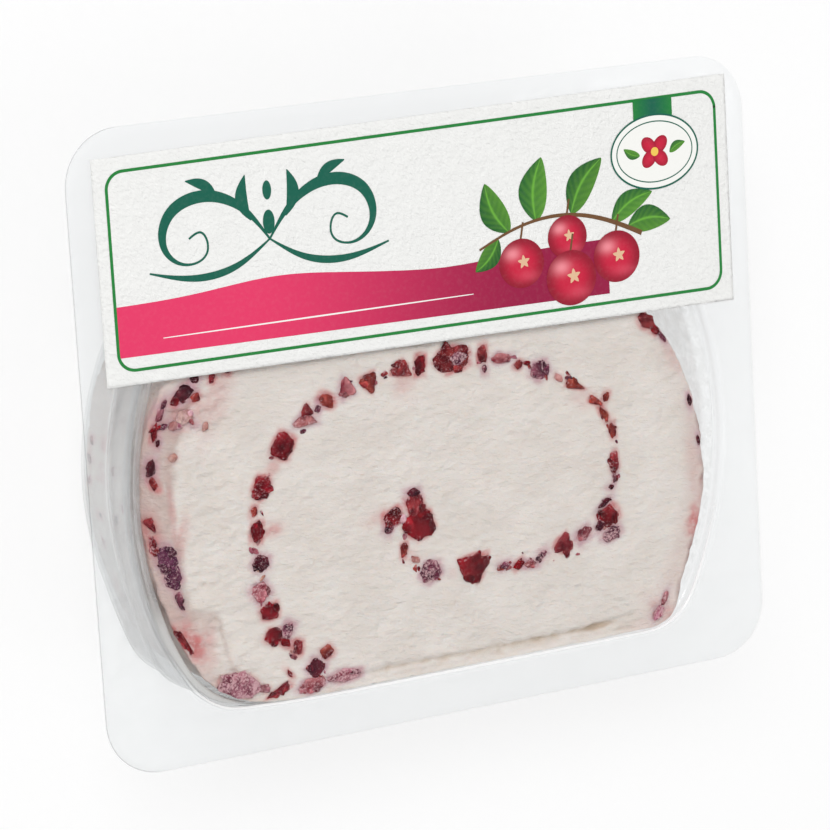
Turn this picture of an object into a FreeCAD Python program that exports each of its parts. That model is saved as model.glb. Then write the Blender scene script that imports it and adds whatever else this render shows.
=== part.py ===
import FreeCAD, Part
import math
import os

# Sealed clear pack holding one slice of rolled cream cheese with a cranberry layer.
# Millimetres. Origin under the middle of the pack, tray floor on z = 0, lid upwards,
# +Y towards the edge that carries the label.

# --- pack ---------------------------------------------------------------------
pack_w = 120.0            # flange width (X)
pack_h = 101.0            # flange length (Y)
pack_corner = 9.0         # flange corner radius
tray_z = 28.0             # top of the flange
sheet = 0.45              # formed tray wall
flange_t = 0.5            # flange thickness
lid_t = 0.2               # clear lid
label_t = 0.25            # paper label

# --- tray cavity: flat top and bottom, bowed sides --------------------------------
# each ring is half width, half height, radius of the bowed side, corner radius
cavity_at = (-0.1, -9.6)
rim = (53.2, 33.8, 62.0, 10.0)              # shallow step just under the lid
wall_top = (50.8, 33.5, 58.0, 15.0)         # inner edge of the ledge
wall_above_step = (50.5, 33.3, 56.0, 14.5)
wall_below_step = (50.2, 33.1, 54.0, 14.5)
wall_foot = (50.0, 33.0, 50.0, 14.0)
rim_depth = 1.8
step_z = 10.5             # stacking step, height above the tray underside
floor_round = 2.5

# --- flange details, pressed into its underside --------------------------------------
press_depth = 0.2
disc_at = (-51.0, -42.5)
disc_r = 5.8
peel_corner = [(59.4, -16.0), (58.1, -25.1), (55.6, -31.8), (51.4, -40.5), (50.6, -43.0), (51.0, -48.0),
               (52.5, -51.5), (61.0, -51.5), (61.0, -16.0)]

# --- label ----------------------------------------------------------------------
label_w = 112.3
label_h = 36.2
label_at = (0.35, 28.5)

# --- cheese slice -----------------------------------------------------------------
slice_top = 27.2          # cut face
slice_fit = 0.2           # clearance to the tray wall
slice_outline = [
    (50.2, -19.0), (48.7, -27.0), (45.4, -34.6), (40.3, -40.6), (32.5, -42.7), (22.0, -43.0),
    (0.0, -43.0), (-21.0, -43.0), (-33.5, -42.2), (-41.2, -38.2), (-46.8, -29.0), (-49.8, -18.0),
    (-50.4, -7.5), (-48.9, 3.0), (-43.6, 12.4), (-31.0, 19.6), (-14.0, 22.0), (10.0, 21.7),
    (28.0, 17.8), (40.0, 10.2), (46.8, 0.0), (49.6, -10.0),
]
edge_round = 0.5
shoulder_x = -44.5        # the left side slumps away from the cut face
shoulder_drop = 3.2
crease_depth = 1.4
crease_w = 0.7
crease = [(-15.5, -41.0), (0.0, -40.6), (12.0, -40.7), (22.5, -41.5), (30.0, -40.8), (37.5, -39.6)]

# --- fruit layer rolled up in the slice ---------------------------------------------
layer_half = 1.25
layer_gap = 0.1
layer_path = [
    (-5.0, -17.3), (-6.9, -22.5), (-4.0, -26.3), (6.0, -27.5), (19.5, -27.8), (31.0, -24.8),
    (33.1, -15.8), (31.7, -5.2), (20.0, 3.0), (4.5, 7.1), (-10.5, 5.5), (-22.5, 1.7),
    (-30.4, -8.3), (-32.0, -19.8), (-30.2, -32.3), (-24.0, -38.7), (-19.5, -44.8),
]
core_at = (-4.9, -17.3)   # loose knot of fruit in the middle
core_rx = 4.6
core_ry = 3.4


def vec(x, y, z=0.0):
    return FreeCAD.Vector(x, y, z)


def arc(cx, cy, r, a0, a1, z):
    """Circular edge from angle a0 to a1 (radians)."""
    am = 0.5 * (a0 + a1)
    p = [vec(cx + r * math.cos(a), cy + r * math.sin(a), z) for a in (a0, am, a1)]
    return Part.Arc(p[0], p[1], p[2]).toShape()


def barrel(ring, grow, z):
    """Closed wire at height z, moved outwards by grow."""
    half_w, half_h, bow, corner = [v + grow for v in ring]
    cx, cy = cavity_at
    rise = half_h - corner
    span = math.sqrt((bow - corner) ** 2 - rise ** 2)
    a = math.atan2(rise, span)
    right = cx + half_w - bow
    left = cx - half_w + bow
    xr = right + span
    xl = left - span
    up = cy + rise
    dn = cy - rise
    q = math.pi / 2
    edges = [
        arc(right, cy, bow, -a, a, z),
        arc(xr, up, corner, a, q, z),
        Part.makeLine(vec(xr, up + corner, z), vec(xl, up + corner, z)),
        arc(xl, up, corner, q, 2 * q - a, z),
        arc(left, cy, bow, 2 * q - a, 2 * q + a, z),
        arc(xl, dn, corner, 2 * q + a, 3 * q, z),
        Part.makeLine(vec(xl, dn - corner, z), vec(xr, dn - corner, z)),
        arc(xr, dn, corner, -q, -a, z),
    ]
    return Part.Wire(edges)


def rim_prism(z0, z1, grow):
    return Part.Face(barrel(rim, grow, z0)).extrude(vec(0, 0, z1 - z0))


def cup(grow, floor_z, ledge_z, step, foot_round):
    """Solid filling the cavity below the ledge; grow > 0 gives the outside of the sheet."""
    upper = Part.makeLoft([barrel(wall_above_step, grow, step), barrel(wall_top, grow, ledge_z)], True, True)
    lower = Part.makeLoft([barrel(wall_foot, grow, floor_z), barrel(wall_below_step, grow, step)], True, True)
    foot = [e for e in lower.Edges if e.BoundBox.ZMax < floor_z + 0.01]
    return upper.fuse(lower.makeFillet(foot_round, foot))


def rounded_plate(z0, t):
    plate = Part.makeBox(pack_w, pack_h, t, vec(-pack_w / 2, -pack_h / 2, z0))
    uprights = [e for e in plate.Edges if e.BoundBox.ZLength > t / 2]
    return plate.makeFillet(pack_corner, uprights)


def closed_spline(points, z):
    curve = Part.BSplineCurve()
    curve.interpolate([vec(x, y, z) for x, y in points], PeriodicFlag=True)
    return Part.Wire([curve.toShape()])


def offset_side(curve, shift, count):
    """Smooth curve running beside another at a fixed distance."""
    first = curve.FirstParameter
    length = curve.LastParameter - first
    side = []
    for k in range(count + 1):
        u = first + length * k / count
        p = curve.value(u)
        t = curve.tangent(u)[0]
        side.append(vec(p.x - shift * t.y, p.y + shift * t.x, p.z))
    line = Part.BSplineCurve()
    line.interpolate(side)
    return line


def ribbon(path, half, count, z0, z1):
    """Upright strip of even width along a smooth open path."""
    curve = Part.BSplineCurve()
    curve.interpolate([vec(x, y, z0) for x, y in path])
    a = offset_side(curve, half, count)
    b = offset_side(curve, -half, count)
    cap0 = Part.makeLine(a.StartPoint, b.StartPoint)
    cap1 = Part.makeLine(b.EndPoint, a.EndPoint)
    face = Part.Face(Part.Wire([cap0, b.toShape(), cap1, a.toShape()]))
    return face.extrude(vec(0, 0, z1 - z0))


def layer_prism(extra):
    """Fruit spiral and its core, full height; extra widens it for the slot in the cheese."""
    z0 = -1.0
    z1 = slice_top + 1.0
    strip = ribbon(layer_path, layer_half + extra, 64, z0, z1)
    ring = Part.Ellipse(vec(core_at[0], core_at[1], z0), core_rx + extra, core_ry + extra)
    core = Part.Face(Part.Wire([ring.toShape()])).extrude(vec(0, 0, z1 - z0))
    return strip.fuse(core)


def slumped_profile():
    """Side profile of the slice: level cut face, left shoulder falling away."""
    low = slice_top - shoulder_drop
    y = -60.0
    bend = Part.BSplineCurve()
    bend.interpolate([vec(shoulder_x, y, slice_top), vec(-48.3, y, slice_top - 0.7), vec(-50.8, y, low)])
    corners = [vec(-50.8, y, low), vec(-60.0, y, low), vec(-60.0, y, -1.0), vec(60.0, y, -1.0),
               vec(60.0, y, slice_top), vec(shoulder_x, y, slice_top)]
    edges = [Part.makeLine(a, b) for a, b in zip(corners, corners[1:])]
    return Part.Face(Part.Wire([bend.toShape()] + edges)).extrude(vec(0, 120, 0))


def whole_slice():
    """Slice before the fruit layer is taken out: it fills the tray and lips over the ledge."""
    ledge = tray_z - rim_depth
    outline = Part.Face(closed_spline(slice_outline, sheet))
    body = outline.extrude(vec(0, 0, ledge - sheet))
    body = body.common(cup(-slice_fit, sheet, ledge, step_z + sheet, floor_round))
    lip = Part.Face(closed_spline(slice_outline, ledge)).extrude(vec(0, 0, slice_top - ledge))
    top = [e for e in lip.Edges if e.BoundBox.ZMin > slice_top - 0.01]
    lip = lip.makeFillet(edge_round, top)
    return body.fuse(lip).common(slumped_profile())


def build_tray():
    ledge = tray_z - rim_depth
    below = tray_z - flange_t
    outer = cup(sheet, 0.0, ledge - sheet, step_z, floor_round + sheet)
    outer = outer.fuse(rim_prism(ledge - sheet, below + 0.1, sheet))
    inner = cup(0.0, sheet, ledge, step_z + sheet, floor_round)
    inner = inner.fuse(rim_prism(ledge, tray_z + 1.0, 0.0))
    disc = Part.makeCylinder(disc_r, press_depth, vec(disc_at[0], disc_at[1], below))
    corner = [vec(x, y, below) for x, y in peel_corner]
    peel = Part.Face(Part.makePolygon(corner + corner[:1])).extrude(vec(0, 0, press_depth))
    relief = disc.fuse(peel).cut(rim_prism(below - 1.0, below + 1.0, sheet))
    return rounded_plate(below, flange_t).fuse(outer).cut(inner).cut(relief).removeSplitter()


def build_lid():
    return rounded_plate(tray_z, lid_t)


def build_label():
    x0 = label_at[0] - label_w / 2
    y0 = label_at[1] - label_h / 2
    return Part.makeBox(label_w, label_h, label_t, vec(x0, y0, tray_z + lid_t))


def build_cheese():
    slot = ribbon(crease, crease_w / 2, 16, slice_top - crease_depth, slice_top + 1.0)
    return whole_slice().cut(layer_prism(layer_gap)).cut(slot)


def build_fruit_layer():
    return whole_slice().common(layer_prism(0.0))


os.makedirs("parts", exist_ok=True)
build_tray().exportStep("parts/tray.step")
build_lid().exportStep("parts/lid.step")
build_label().exportStep("parts/label.step")
build_cheese().exportStep("parts/cheese.step")
build_fruit_layer().exportStep("parts/fruit_layer.step")
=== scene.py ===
import math
import random

import bmesh
import bpy
import numpy as np
from mathutils import Matrix, Vector


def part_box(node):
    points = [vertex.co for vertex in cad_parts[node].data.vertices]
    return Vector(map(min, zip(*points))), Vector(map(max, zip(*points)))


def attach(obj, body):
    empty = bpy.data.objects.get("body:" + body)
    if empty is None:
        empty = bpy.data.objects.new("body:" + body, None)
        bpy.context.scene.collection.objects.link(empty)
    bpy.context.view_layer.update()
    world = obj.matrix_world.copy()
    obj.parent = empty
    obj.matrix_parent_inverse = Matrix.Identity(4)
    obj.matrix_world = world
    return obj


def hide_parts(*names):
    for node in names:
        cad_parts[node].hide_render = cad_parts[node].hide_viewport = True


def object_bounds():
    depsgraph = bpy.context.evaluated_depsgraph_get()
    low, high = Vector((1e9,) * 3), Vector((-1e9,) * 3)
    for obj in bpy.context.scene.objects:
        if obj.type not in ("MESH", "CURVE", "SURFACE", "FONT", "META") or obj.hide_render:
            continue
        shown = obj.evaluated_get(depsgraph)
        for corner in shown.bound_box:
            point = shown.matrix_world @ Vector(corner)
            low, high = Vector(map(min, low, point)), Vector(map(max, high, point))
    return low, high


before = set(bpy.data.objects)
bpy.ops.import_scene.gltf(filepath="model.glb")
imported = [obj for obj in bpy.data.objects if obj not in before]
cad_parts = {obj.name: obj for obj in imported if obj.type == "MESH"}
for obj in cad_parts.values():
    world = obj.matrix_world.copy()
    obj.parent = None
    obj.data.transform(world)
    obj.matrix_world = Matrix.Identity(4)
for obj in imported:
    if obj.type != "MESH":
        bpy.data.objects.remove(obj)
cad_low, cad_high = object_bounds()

# A clear sealed pack with a slice of rolled cream cheese. Lengths are in millimetres until
# a mesh is made, in the row frame: +X along the pack, +Y towards the label, +Z up.

MM = 0.001

# --- sizes shared with the solids ---------------------------------------------------
PACK_W = 1000 * (cad_high.x - cad_low.x)
PACK_H = 1000 * (cad_high.y - cad_low.y)
PACK_CORNER = 9.0
LID_BOTTOM = 1000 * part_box("lid")[0].z
LID_TOP = 1000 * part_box("lid")[1].z
LABEL_LOW = 1000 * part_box("label")[0]
LABEL_HIGH = 1000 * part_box("label")[1]
SHEET = 0.45
FLANGE_T = 0.5
FLOOR_ROUND = 2.5
RIM_DEPTH = 1.8
LEDGE_Z = LID_BOTTOM - RIM_DEPTH
CAVITY = (-0.1, -9.6)     # its centre
# rings of the cavity: half width, half height, radius of the bowed side, corner radius
RIM = (53.2, 33.8, 62.0, 10.0)
WALL_TOP = (50.8, 33.5, 58.0, 15.0)
WALL_ABOVE = (50.5, 33.3, 56.0, 14.5)
WALL_BELOW = (50.2, 33.1, 54.0, 14.5)
WALL_FOOT = (50.0, 33.0, 50.0, 14.0)
SLICE_TOP = 1000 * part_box("cheese")[1].z
SLICE_LOW = 1000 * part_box("cheese")[0].z
SLICE_FIT = 0.2
SLICE_OUTLINE = [
    (50.2, -19.0), (48.7, -27.0), (45.4, -34.6), (40.3, -40.6), (32.5, -42.7), (22.0, -43.0),
    (0.0, -43.0), (-21.0, -43.0), (-33.5, -42.2), (-41.2, -38.2), (-46.8, -29.0), (-49.8, -18.0),
    (-50.4, -7.5), (-48.9, 3.0), (-43.6, 12.4), (-31.0, 19.6), (-14.0, 22.0), (10.0, 21.7),
    (28.0, 17.8), (40.0, 10.2), (46.8, 0.0), (49.6, -10.0),
]
SHOULDER_X = -44.5        # the left side slumps away from the cut face
SHOULDER_RUN = 6.3
SHOULDER_DROP = 3.2
LAYER_PATH = [
    (-5.0, -17.3), (-6.9, -22.5), (-4.0, -26.3), (6.0, -27.5), (19.5, -27.8), (31.0, -24.8),
    (33.1, -15.8), (31.7, -5.2), (20.0, 3.0), (4.5, 7.1), (-10.5, 5.5), (-22.5, 1.7),
    (-30.4, -8.3), (-32.0, -19.8), (-30.2, -32.3), (-24.0, -38.7), (-19.5, -44.8),
]

# --- sizes that the solids don't have, or have a little differently -------------------
STEP_Z = 12.9             # the stacking step
# at the near left corner the rim is rounder and the wall fuller
CORNER_AT = math.radians(-144.5)
CORNER_SPAN = math.radians(11)
RIM_TRIM = 1.4
WALL_PUSH = 1.6
# the slice's lip is pressed out along the foot of the pack, and more at the near right corner
LIP_PUSH = 0.6
LIP_CORNER_PUSH = 2.0
LIP_CORNER_AT = math.radians(-37.6)
LIP_CORNER_SPAN = math.radians(5.5)
CREASE = [
    (-15.5, -41.1), (0.0, -41.3), (10.5, -41.3), (21.0, -41.4), (29.0, -41.2), (33.0, -40.8), (37.5, -40.0),
]
# the slumped coat on the left ends at this line: y, x
COAT_EDGE = [
    (-46.0, -33.0), (-40.0, -36.5), (-34.0, -38.4), (-31.0, -38.9), (-28.9, -39.3), (-27.2, -40.6),
    (-26.7, -42.2), (-25.8, -44.0), (-22.5, -45.0), (-19.5, -45.1), (-15.5, -45.3), (-12.0, -46.2),
    (-8.0, -45.9), (-3.0, -45.3), (0.4, -44.4), (2.6, -42.8), (6.0, -41.8), (9.0, -39.5), (14.0, -36.0),
]

# --- fruit on the cut face: x, y, length, width, turn in degrees, tone, frosting, corners
FACE_BITS = [
    (-3.5, -18.9, 5.7, 5.3, 8, "deep", 0.05, 5), (-4.0, -15.4, 3.8, 3.2, 110, "brick", 0.2, 4),
    (-4.2, -13.5, 2.4, 1.6, 5, "dark", 0.0, 4), (-8.1, -17.0, 3.6, 3.0, 20, "deep", 0.35, 4),
    (-8.8, -18.5, 2.2, 1.6, 60, "plum", 0.4, 4), (-6.3, -17.5, 1.6, 1.3, 90, "milk", 0.8, 5),
    (-6.5, -22.6, 2.5, 1.4, 80, "rust", 0.1, 4), (-4.6, -24.4, 2.0, 1.2, 150, "tan", 0.2, 4),
    (-2.0, -26.8, 4.2, 3.5, 10, "plum", 0.75, 5), (6.2, -27.7, 4.9, 6.3, 94, "deep", 0.15, 3),
    (11.7, -28.1, 2.0, 1.3, 10, "plum", 0.5, 4), (14.2, -28.4, 2.2, 1.5, 30, "deep", 0.0, 4),
    (16.3, -28.6, 2.6, 1.4, 0, "pink", 0.5, 4), (18.4, -27.6, 2.8, 1.3, 35, "plum", 0.8, 4),
    (22.8, -26.6, 3.3, 4.0, 130, "brick", 0.1, 3), (26.7, -25.3, 3.3, 2.3, 30, "pink", 0.6, 4),
    (31.4, -23.1, 4.1, 3.6, 30, "deep", 0.15, 4), (31.8, -26.1, 3.6, 2.4, 20, "plum", 0.8, 5),
    (29.8, -24.4, 2.0, 1.6, 60, "dark", 0.2, 4), (30.8, -20.7, 2.9, 0.9, 35, "dark", 0.0, 4),
    (32.2, -18.3, 1.1, 0.9, 0, "dark", 0.0, 5), (32.9, -17.0, 1.8, 0.7, 80, "plum", 0.5, 4),
    (33.0, -14.3, 3.7, 1.8, 88, "brick", 0.35, 5), (32.9, -9.0, 2.6, 1.4, 100, "rust", 0.0, 4),
    (31.5, -6.0, 2.9, 1.3, 120, "rust", 0.0, 4), (30.1, -3.7, 2.8, 1.4, 150, "rust", 0.0, 3),
    (32.0, -3.2, 1.7, 1.1, 70, "rust", 0.0, 4), (26.4, -0.5, 3.7, 1.7, 155, "rust", 0.05, 3),
    (23.4, 1.2, 1.8, 1.2, 130, "tan", 0.2, 4), (19.9, 2.9, 3.6, 3.3, 20, "plum", 0.5, 5),
    (16.2, 4.4, 1.6, 1.3, 40, "brick", 0.2, 4), (13.0, 5.9, 3.7, 1.7, -5, "pink", 0.25, 5),
    (9.6, 7.0, 3.1, 1.8, 86, "brick", 0.1, 4), (9.9, 4.6, 1.3, 0.8, 90, "plum", 0.3, 4),
    (4.0, 6.9, 6.8, 4.7, 0, "brick", 0.15, 5), (5.0, 7.1, 3.2, 2.3, 10, "plum", 0.85, 4),
    (-1.7, 6.8, 3.5, 2.2, 85, "deep", 0.05, 4), (-4.9, 6.8, 2.8, 4.0, 255, "brick", 0.3, 3),
    (-10.8, 5.1, 3.3, 3.3, 108, "rust", 0.0, 3), (-15.0, 5.2, 3.4, 3.1, 285, "pink", 0.1, 3),
    (-18.5, 3.6, 2.9, 2.1, 145, "rust", 0.1, 4), (-20.1, 2.5, 1.3, 1.0, 60, "plum", 0.6, 4),
    (-22.0, 2.6, 2.2, 2.4, 275, "brick", 0.2, 3), (-22.5, 1.1, 2.3, 4.4, 272, "pink", 0.5, 3),
    (-26.5, -2.5, 4.3, 3.8, 60, "deep", 0.05, 4), (-30.6, -8.6, 4.1, 3.3, 75, "deep", 0.3, 5),
    (-32.2, -12.2, 1.7, 1.1, 80, "rust", 0.2, 4), (-31.9, -15.4, 3.6, 2.4, 82, "deep", 0.1, 4),
    (-31.7, -20.6, 3.1, 2.9, 0, "dark", 0.35, 5), (-32.0, -25.1, 3.2, 3.0, 30, "pink", 0.6, 4),
    (-30.6, -28.5, 3.3, 2.8, 5, "deep", 0.0, 4), (-30.3, -32.6, 3.4, 2.8, 10, "deep", 0.1, 5),
    (-28.4, -33.9, 2.2, 1.4, -30, "deep", 0.2, 4), (-27.8, -32.0, 2.8, 2.0, 60, "plum", 0.8, 4),
    (-26.2, -35.1, 2.4, 1.8, 80, "brick", 0.3, 4), (-21.2, -36.7, 2.4, 2.1, 25, "rust", 0.15, 4),
    (-23.3, -38.9, 3.1, 2.8, 40, "dark", 0.0, 4), (-28.0, -39.0, 1.6, 0.7, 120, "brick", 0.3, 4),
    (-24.2, -41.6, 5.0, 2.4, 10, "pink", 0.65, 5), (-18.4, -41.2, 6.2, 2.2, 2, "mauve", 0.8, 5),
]
COAT_BITS = [
    (-42.7, 8.3, 3.6, 2.6, 35, "dark", 0.1, 4), (-40.8, 7.3, 1.7, 1.4, 20, "rust", 0.2, 4),
    (-44.3, 7.2, 2.0, 1.5, 60, "deep", 0.2, 4), (-40.8, 10.2, 1.8, 1.5, 30, "dark", 0.1, 4),
    (-37.9, 9.9, 1.9, 1.3, 75, "brick", 0.2, 4), (-35.0, 11.2, 2.2, 1.6, 60, "deep", 0.2, 4),
    (-46.2, 6.9, 1.9, 0.8, 60, "plum", 0.3, 4), (-46.9, 5.4, 2.4, 1.2, 65, "mauve", 0.3, 4),
    (-47.9, 2.8, 3.3, 1.1, 78, "deep", 0.15, 4), (-46.5, 3.5, 1.5, 0.9, 30, "plum", 0.5, 4),
    (-43.0, 4.6, 3.0, 2.3, 20, "milk", 0.6, 5), (-42.0, 3.9, 2.0, 0.8, 130, "pink", 0.4, 4),
    (-44.1, 3.2, 1.3, 1.1, 40, "mauve", 0.8, 3), (-44.9, 3.4, 1.7, 1.5, 30, "tan", 0.1, 5),
    (-39.5, 2.5, 1.6, 1.0, 70, "tan", 0.2, 4), (-45.3, -1.6, 1.6, 1.4, 20, "tan", 0.3, 5),
    (-48.7, -2.8, 2.9, 1.5, 80, "dark", 0.2, 4), (-48.5, -5.3, 2.4, 1.2, 105, "brick", 0.15, 4),
    (-49.2, -11.9, 2.7, 1.7, 120, "brick", 0.1, 3), (-49.1, -15.2, 3.4, 1.4, 100, "brick", 0.7, 5),
    (-47.3, -17.5, 4.6, 3.0, 105, "purple", 0.3, 5), (-46.7, -20.3, 4.4, 2.9, 95, "purple", 0.4, 5),
    (-45.9, -24.2, 3.2, 1.3, 105, "plum", 0.3, 3), (-45.7, -30.8, 5.2, 1.2, 122, "brick", 0.0, 3),
    (-36.7, -39.5, 7.5, 4.2, 166, "heather", 1.0, 5), (-33.2, -40.6, 3.2, 1.5, -10, "heather", 0.4, 3),
    (-30.0, -41.6, 4.6, 1.5, 22, "brick", 0.2, 3), (40.4, 8.2, 3.6, 2.6, 140, "brick", 0.1, 4),
    (41.9, 6.6, 2.0, 1.4, 120, "deep", 0.1, 4), (43.2, 5.2, 2.3, 0.8, 125, "plum", 0.2, 4),
    (47.9, -6.0, 2.2, 0.9, 100, "dark", 0.1, 4), (49.2, -13.0, 1.8, 0.6, 100, "dark", 0.1, 4),
    (36.2, 12.0, 2.6, 1.8, 150, "deep", 0.4, 4), (-47.5, 1.0, 1.2, 0.7, 80, "dark", 0.0, 4),
    (39.9, -40.9, 2.8, 1.4, 55, "mauve", 0.9, 5), (41.4, -38.7, 2.6, 1.0, 65, "pink", 0.8, 5),
]
# fruit against the far left wall, low down: direction, height, size
WALL_BITS = [(171.0, 4.4, 1.3), (174.6, 3.8, 1.7), (178.5, 3.6, 1.1)]
# juice without fruit: x, y, half length, half width, turn, strength
SMEARS = [
    (-44.3, -31.4, 3.5, 1.7, 122, 0.85), (-41.8, -31.0, 2.0, 1.5, 100, 0.4),
    (-49.3, -13.5, 3.4, 1.3, 100, 0.6), (-46.0, -10.5, 4.5, 0.5, 92, 0.35),
    (-45.0, -15.0, 3.5, 0.8, 75, 0.35), (-37.5, 6.5, 5.0, 2.0, 65, 0.3),
    (-42.5, 5.0, 3.0, 2.0, 60, 0.3), (-47.4, 5.0, 3.0, 1.0, 65, 0.4),
    (47.9, -26.4, 2.8, 1.3, 75, 0.75), (48.5, -18.0, 8.0, 1.3, 92, 0.22),
    (41.2, -40.6, 3.0, 1.3, 140, 0.4), (-10.5, -16.5, 2.2, 1.0, 20, 0.25),
    (-29.8, -15.7, 1.9, 0.9, 10, 0.5), (45.0, 1.5, 3.0, 1.0, 120, 0.25),
    (-4.6, 4.4, 1.8, 1.5, 90, 0.3), (-28.6, -5.8, 1.6, 0.9, 50, 0.4),
    (-42.6, 4.6, 2.8, 2.0, 30, 0.45), (28.0, -2.8, 1.5, 1.8, 80, 0.22),
    (-5.6, -23.5, 1.6, 0.8, 150, 0.35),
]
# each tone is the dark and the light side of a piece, as linear colours
TONES = {
    "deep": ((0.062, 0.001, 0.004), (0.250, 0.007, 0.012)),
    "dark": ((0.024, 0.003, 0.008), (0.110, 0.012, 0.020)),
    "rust": ((0.120, 0.008, 0.010), (0.370, 0.062, 0.042)),
    "brick": ((0.085, 0.004, 0.008), (0.310, 0.036, 0.038)),
    "pink": ((0.180, 0.018, 0.030), (0.500, 0.180, 0.190)),
    "plum": ((0.032, 0.004, 0.013), (0.190, 0.045, 0.070)),
    "purple": ((0.045, 0.008, 0.024), (0.160, 0.048, 0.078)),
    "mauve": ((0.210, 0.040, 0.058), (0.460, 0.190, 0.215)),
    "heather": ((0.170, 0.040, 0.058), (0.370, 0.155, 0.180)),
    "milk": ((0.480, 0.210, 0.205), (0.740, 0.500, 0.480)),
    "tan": ((0.340, 0.120, 0.095), (0.600, 0.360, 0.300)),
}


# --- plain helpers ----------------------------------------------------------------------
def srgb(r, g, b):
    """A colour given in 0-255 display values, as linear RGBA."""
    out = []
    for v in (r, g, b):
        v = v / 255
        out.append(v / 12.92 if v <= 0.04045 else ((v + 0.055) / 1.055) ** 2.4)
    return (*out, 1.0)


def smooth(t):
    """0 below 0, 1 above 1 and a soft ramp between."""
    t = np.clip(t, 0.0, 1.0)
    return t * t * (3 - 2 * t)


SCATTER = (374761393, 668265263, 1103515245, 974634777)
MIXER = 1274126177
LOW_32 = 0xFFFFFFFF
LOW_24 = 0xFFFFFF


def lattice(i, j, k, seed):
    """A scattered value from 0 to 1 for each place of whole numbers."""
    n = (i * SCATTER[0] + j * SCATTER[1] + k * SCATTER[2] + seed * SCATTER[3]) & LOW_32
    n = ((n ^ (n >> 13)) * MIXER) & LOW_32
    return ((n ^ (n >> 16)) & LOW_24) / float(LOW_24)


def noise(x, y, z=0.0, seed=0):
    """Smooth value noise from -1 to 1, one cell per unit."""
    x, y, z = np.broadcast_arrays(np.asarray(x, float), y, z)
    i, j, k = (np.floor(v).astype(np.int64) for v in (x, y, z))
    u, v, w = smooth(x - i), smooth(y - j), smooth(z - k)
    total = 0.0
    for a in (0, 1):
        for b in (0, 1):
            for c in (0, 1):
                weight = (u if a else 1 - u) * (v if b else 1 - v) * (w if c else 1 - w)
                total = total + weight * lattice(i + a, j + b, k + c, seed)
    return 2 * total - 1


def spline(points, count, closed=False):
    """Even samples of a natural or periodic cubic spline through the points."""
    p = np.array(points, float)
    if closed:
        p = np.vstack([p, p[:1]])
    t = np.concatenate([[0], np.cumsum(np.linalg.norm(np.diff(p, axis=0), axis=1))])
    h = np.diff(t)
    n = len(p)
    a = np.zeros((n, n))
    r = np.zeros((n, p.shape[1]))
    for i in range(1, n - 1):
        a[i, i - 1:i + 2] = h[i - 1], 2 * (h[i - 1] + h[i]), h[i]
        r[i] = 6 * ((p[i + 1] - p[i]) / h[i] - (p[i] - p[i - 1]) / h[i - 1])
    if closed:
        a[0, 0], a[0, 1], a[0, n - 2] = 2 * (h[0] + h[-1]), h[0], h[-1]
        r[0] = 6 * ((p[1] - p[0]) / h[0] - (p[0] - p[n - 2]) / h[-1])
        a[n - 1, n - 1], a[n - 1, 0] = 1, -1
    else:
        a[0, 0] = a[n - 1, n - 1] = 1
    m = np.linalg.solve(a, r)
    s = np.linspace(0, t[-1], count, endpoint=not closed)
    k = np.clip(np.searchsorted(t, s, side="right") - 1, 0, n - 2)
    f, g = (s - t[k])[:, None], (t[k + 1] - s)[:, None]
    hk = h[k][:, None]
    return (m[k] * g ** 3 + m[k + 1] * f ** 3) / (6 * hk) \
        + (p[k] / hk - m[k] * hk / 6) * g + (p[k + 1] / hk - m[k + 1] * hk / 6) * f


def barrel(ring, grow=0.0):
    """Points of a flat-topped ring with bowed sides, anticlockwise from the right."""
    half_w, half_h, bow, corner_r = (v + grow for v in ring)
    cx, cy = CAVITY
    rise = half_h - corner_r
    span = math.sqrt((bow - corner_r) ** 2 - rise ** 2)
    a = math.atan2(rise, span)
    right, left = cx + half_w - bow, cx - half_w + bow
    q = math.pi / 2
    arcs = [(right, cy, bow, -a, a), (right + span, cy + rise, corner_r, a, q),
            (left - span, cy + rise, corner_r, q, 2 * q - a), (left, cy, bow, 2 * q - a, 2 * q + a),
            (left - span, cy - rise, corner_r, 2 * q + a, 3 * q), (right + span, cy - rise, corner_r, -q, -a)]
    out = []
    for x, y, r, a0, a1 in arcs:
        t = np.linspace(a0, a1, 60)
        out.append(np.c_[x + r * np.cos(t), y + r * np.sin(t)])
    return np.vstack(out)


def plate(half_w, half_h, corner_r, per=40):
    """Points of a rounded rectangle about the origin, with per points to a corner."""
    out = []
    for k, (sx, sy) in enumerate(((1, 1), (-1, 1), (-1, -1), (1, -1))):
        t = np.linspace(k * math.pi / 2, (k + 1) * math.pi / 2, per)
        out.append(np.c_[sx * (half_w - corner_r) + corner_r * np.cos(t),
                         sy * (half_h - corner_r) + corner_r * np.sin(t)])
    return np.vstack(out)


def from_centre(radius, theta):
    """x and y at a distance and a direction from the cavity's centre."""
    return CAVITY[0] + radius * np.cos(theta), CAVITY[1] + radius * np.sin(theta)


def to_centre(x, y):
    """Distance and direction of a place from the cavity's centre."""
    return np.hypot(x - CAVITY[0], y - CAVITY[1]), np.arctan2(y - CAVITY[1], x - CAVITY[0])


def reach(points, theta):
    """Distance from the cavity's centre to a closed outline in each direction theta."""
    closed = np.vstack([points, points[:1]])
    fine = np.vstack([a + (b - a) * np.linspace(0, 1, 24, endpoint=False)[:, None]
                      for a, b in zip(closed, closed[1:])])
    radius, direction = to_centre(fine[:, 0], fine[:, 1])
    order = np.argsort(direction)
    return np.interp(theta, direction[order], radius[order], period=2 * math.pi)


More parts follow.
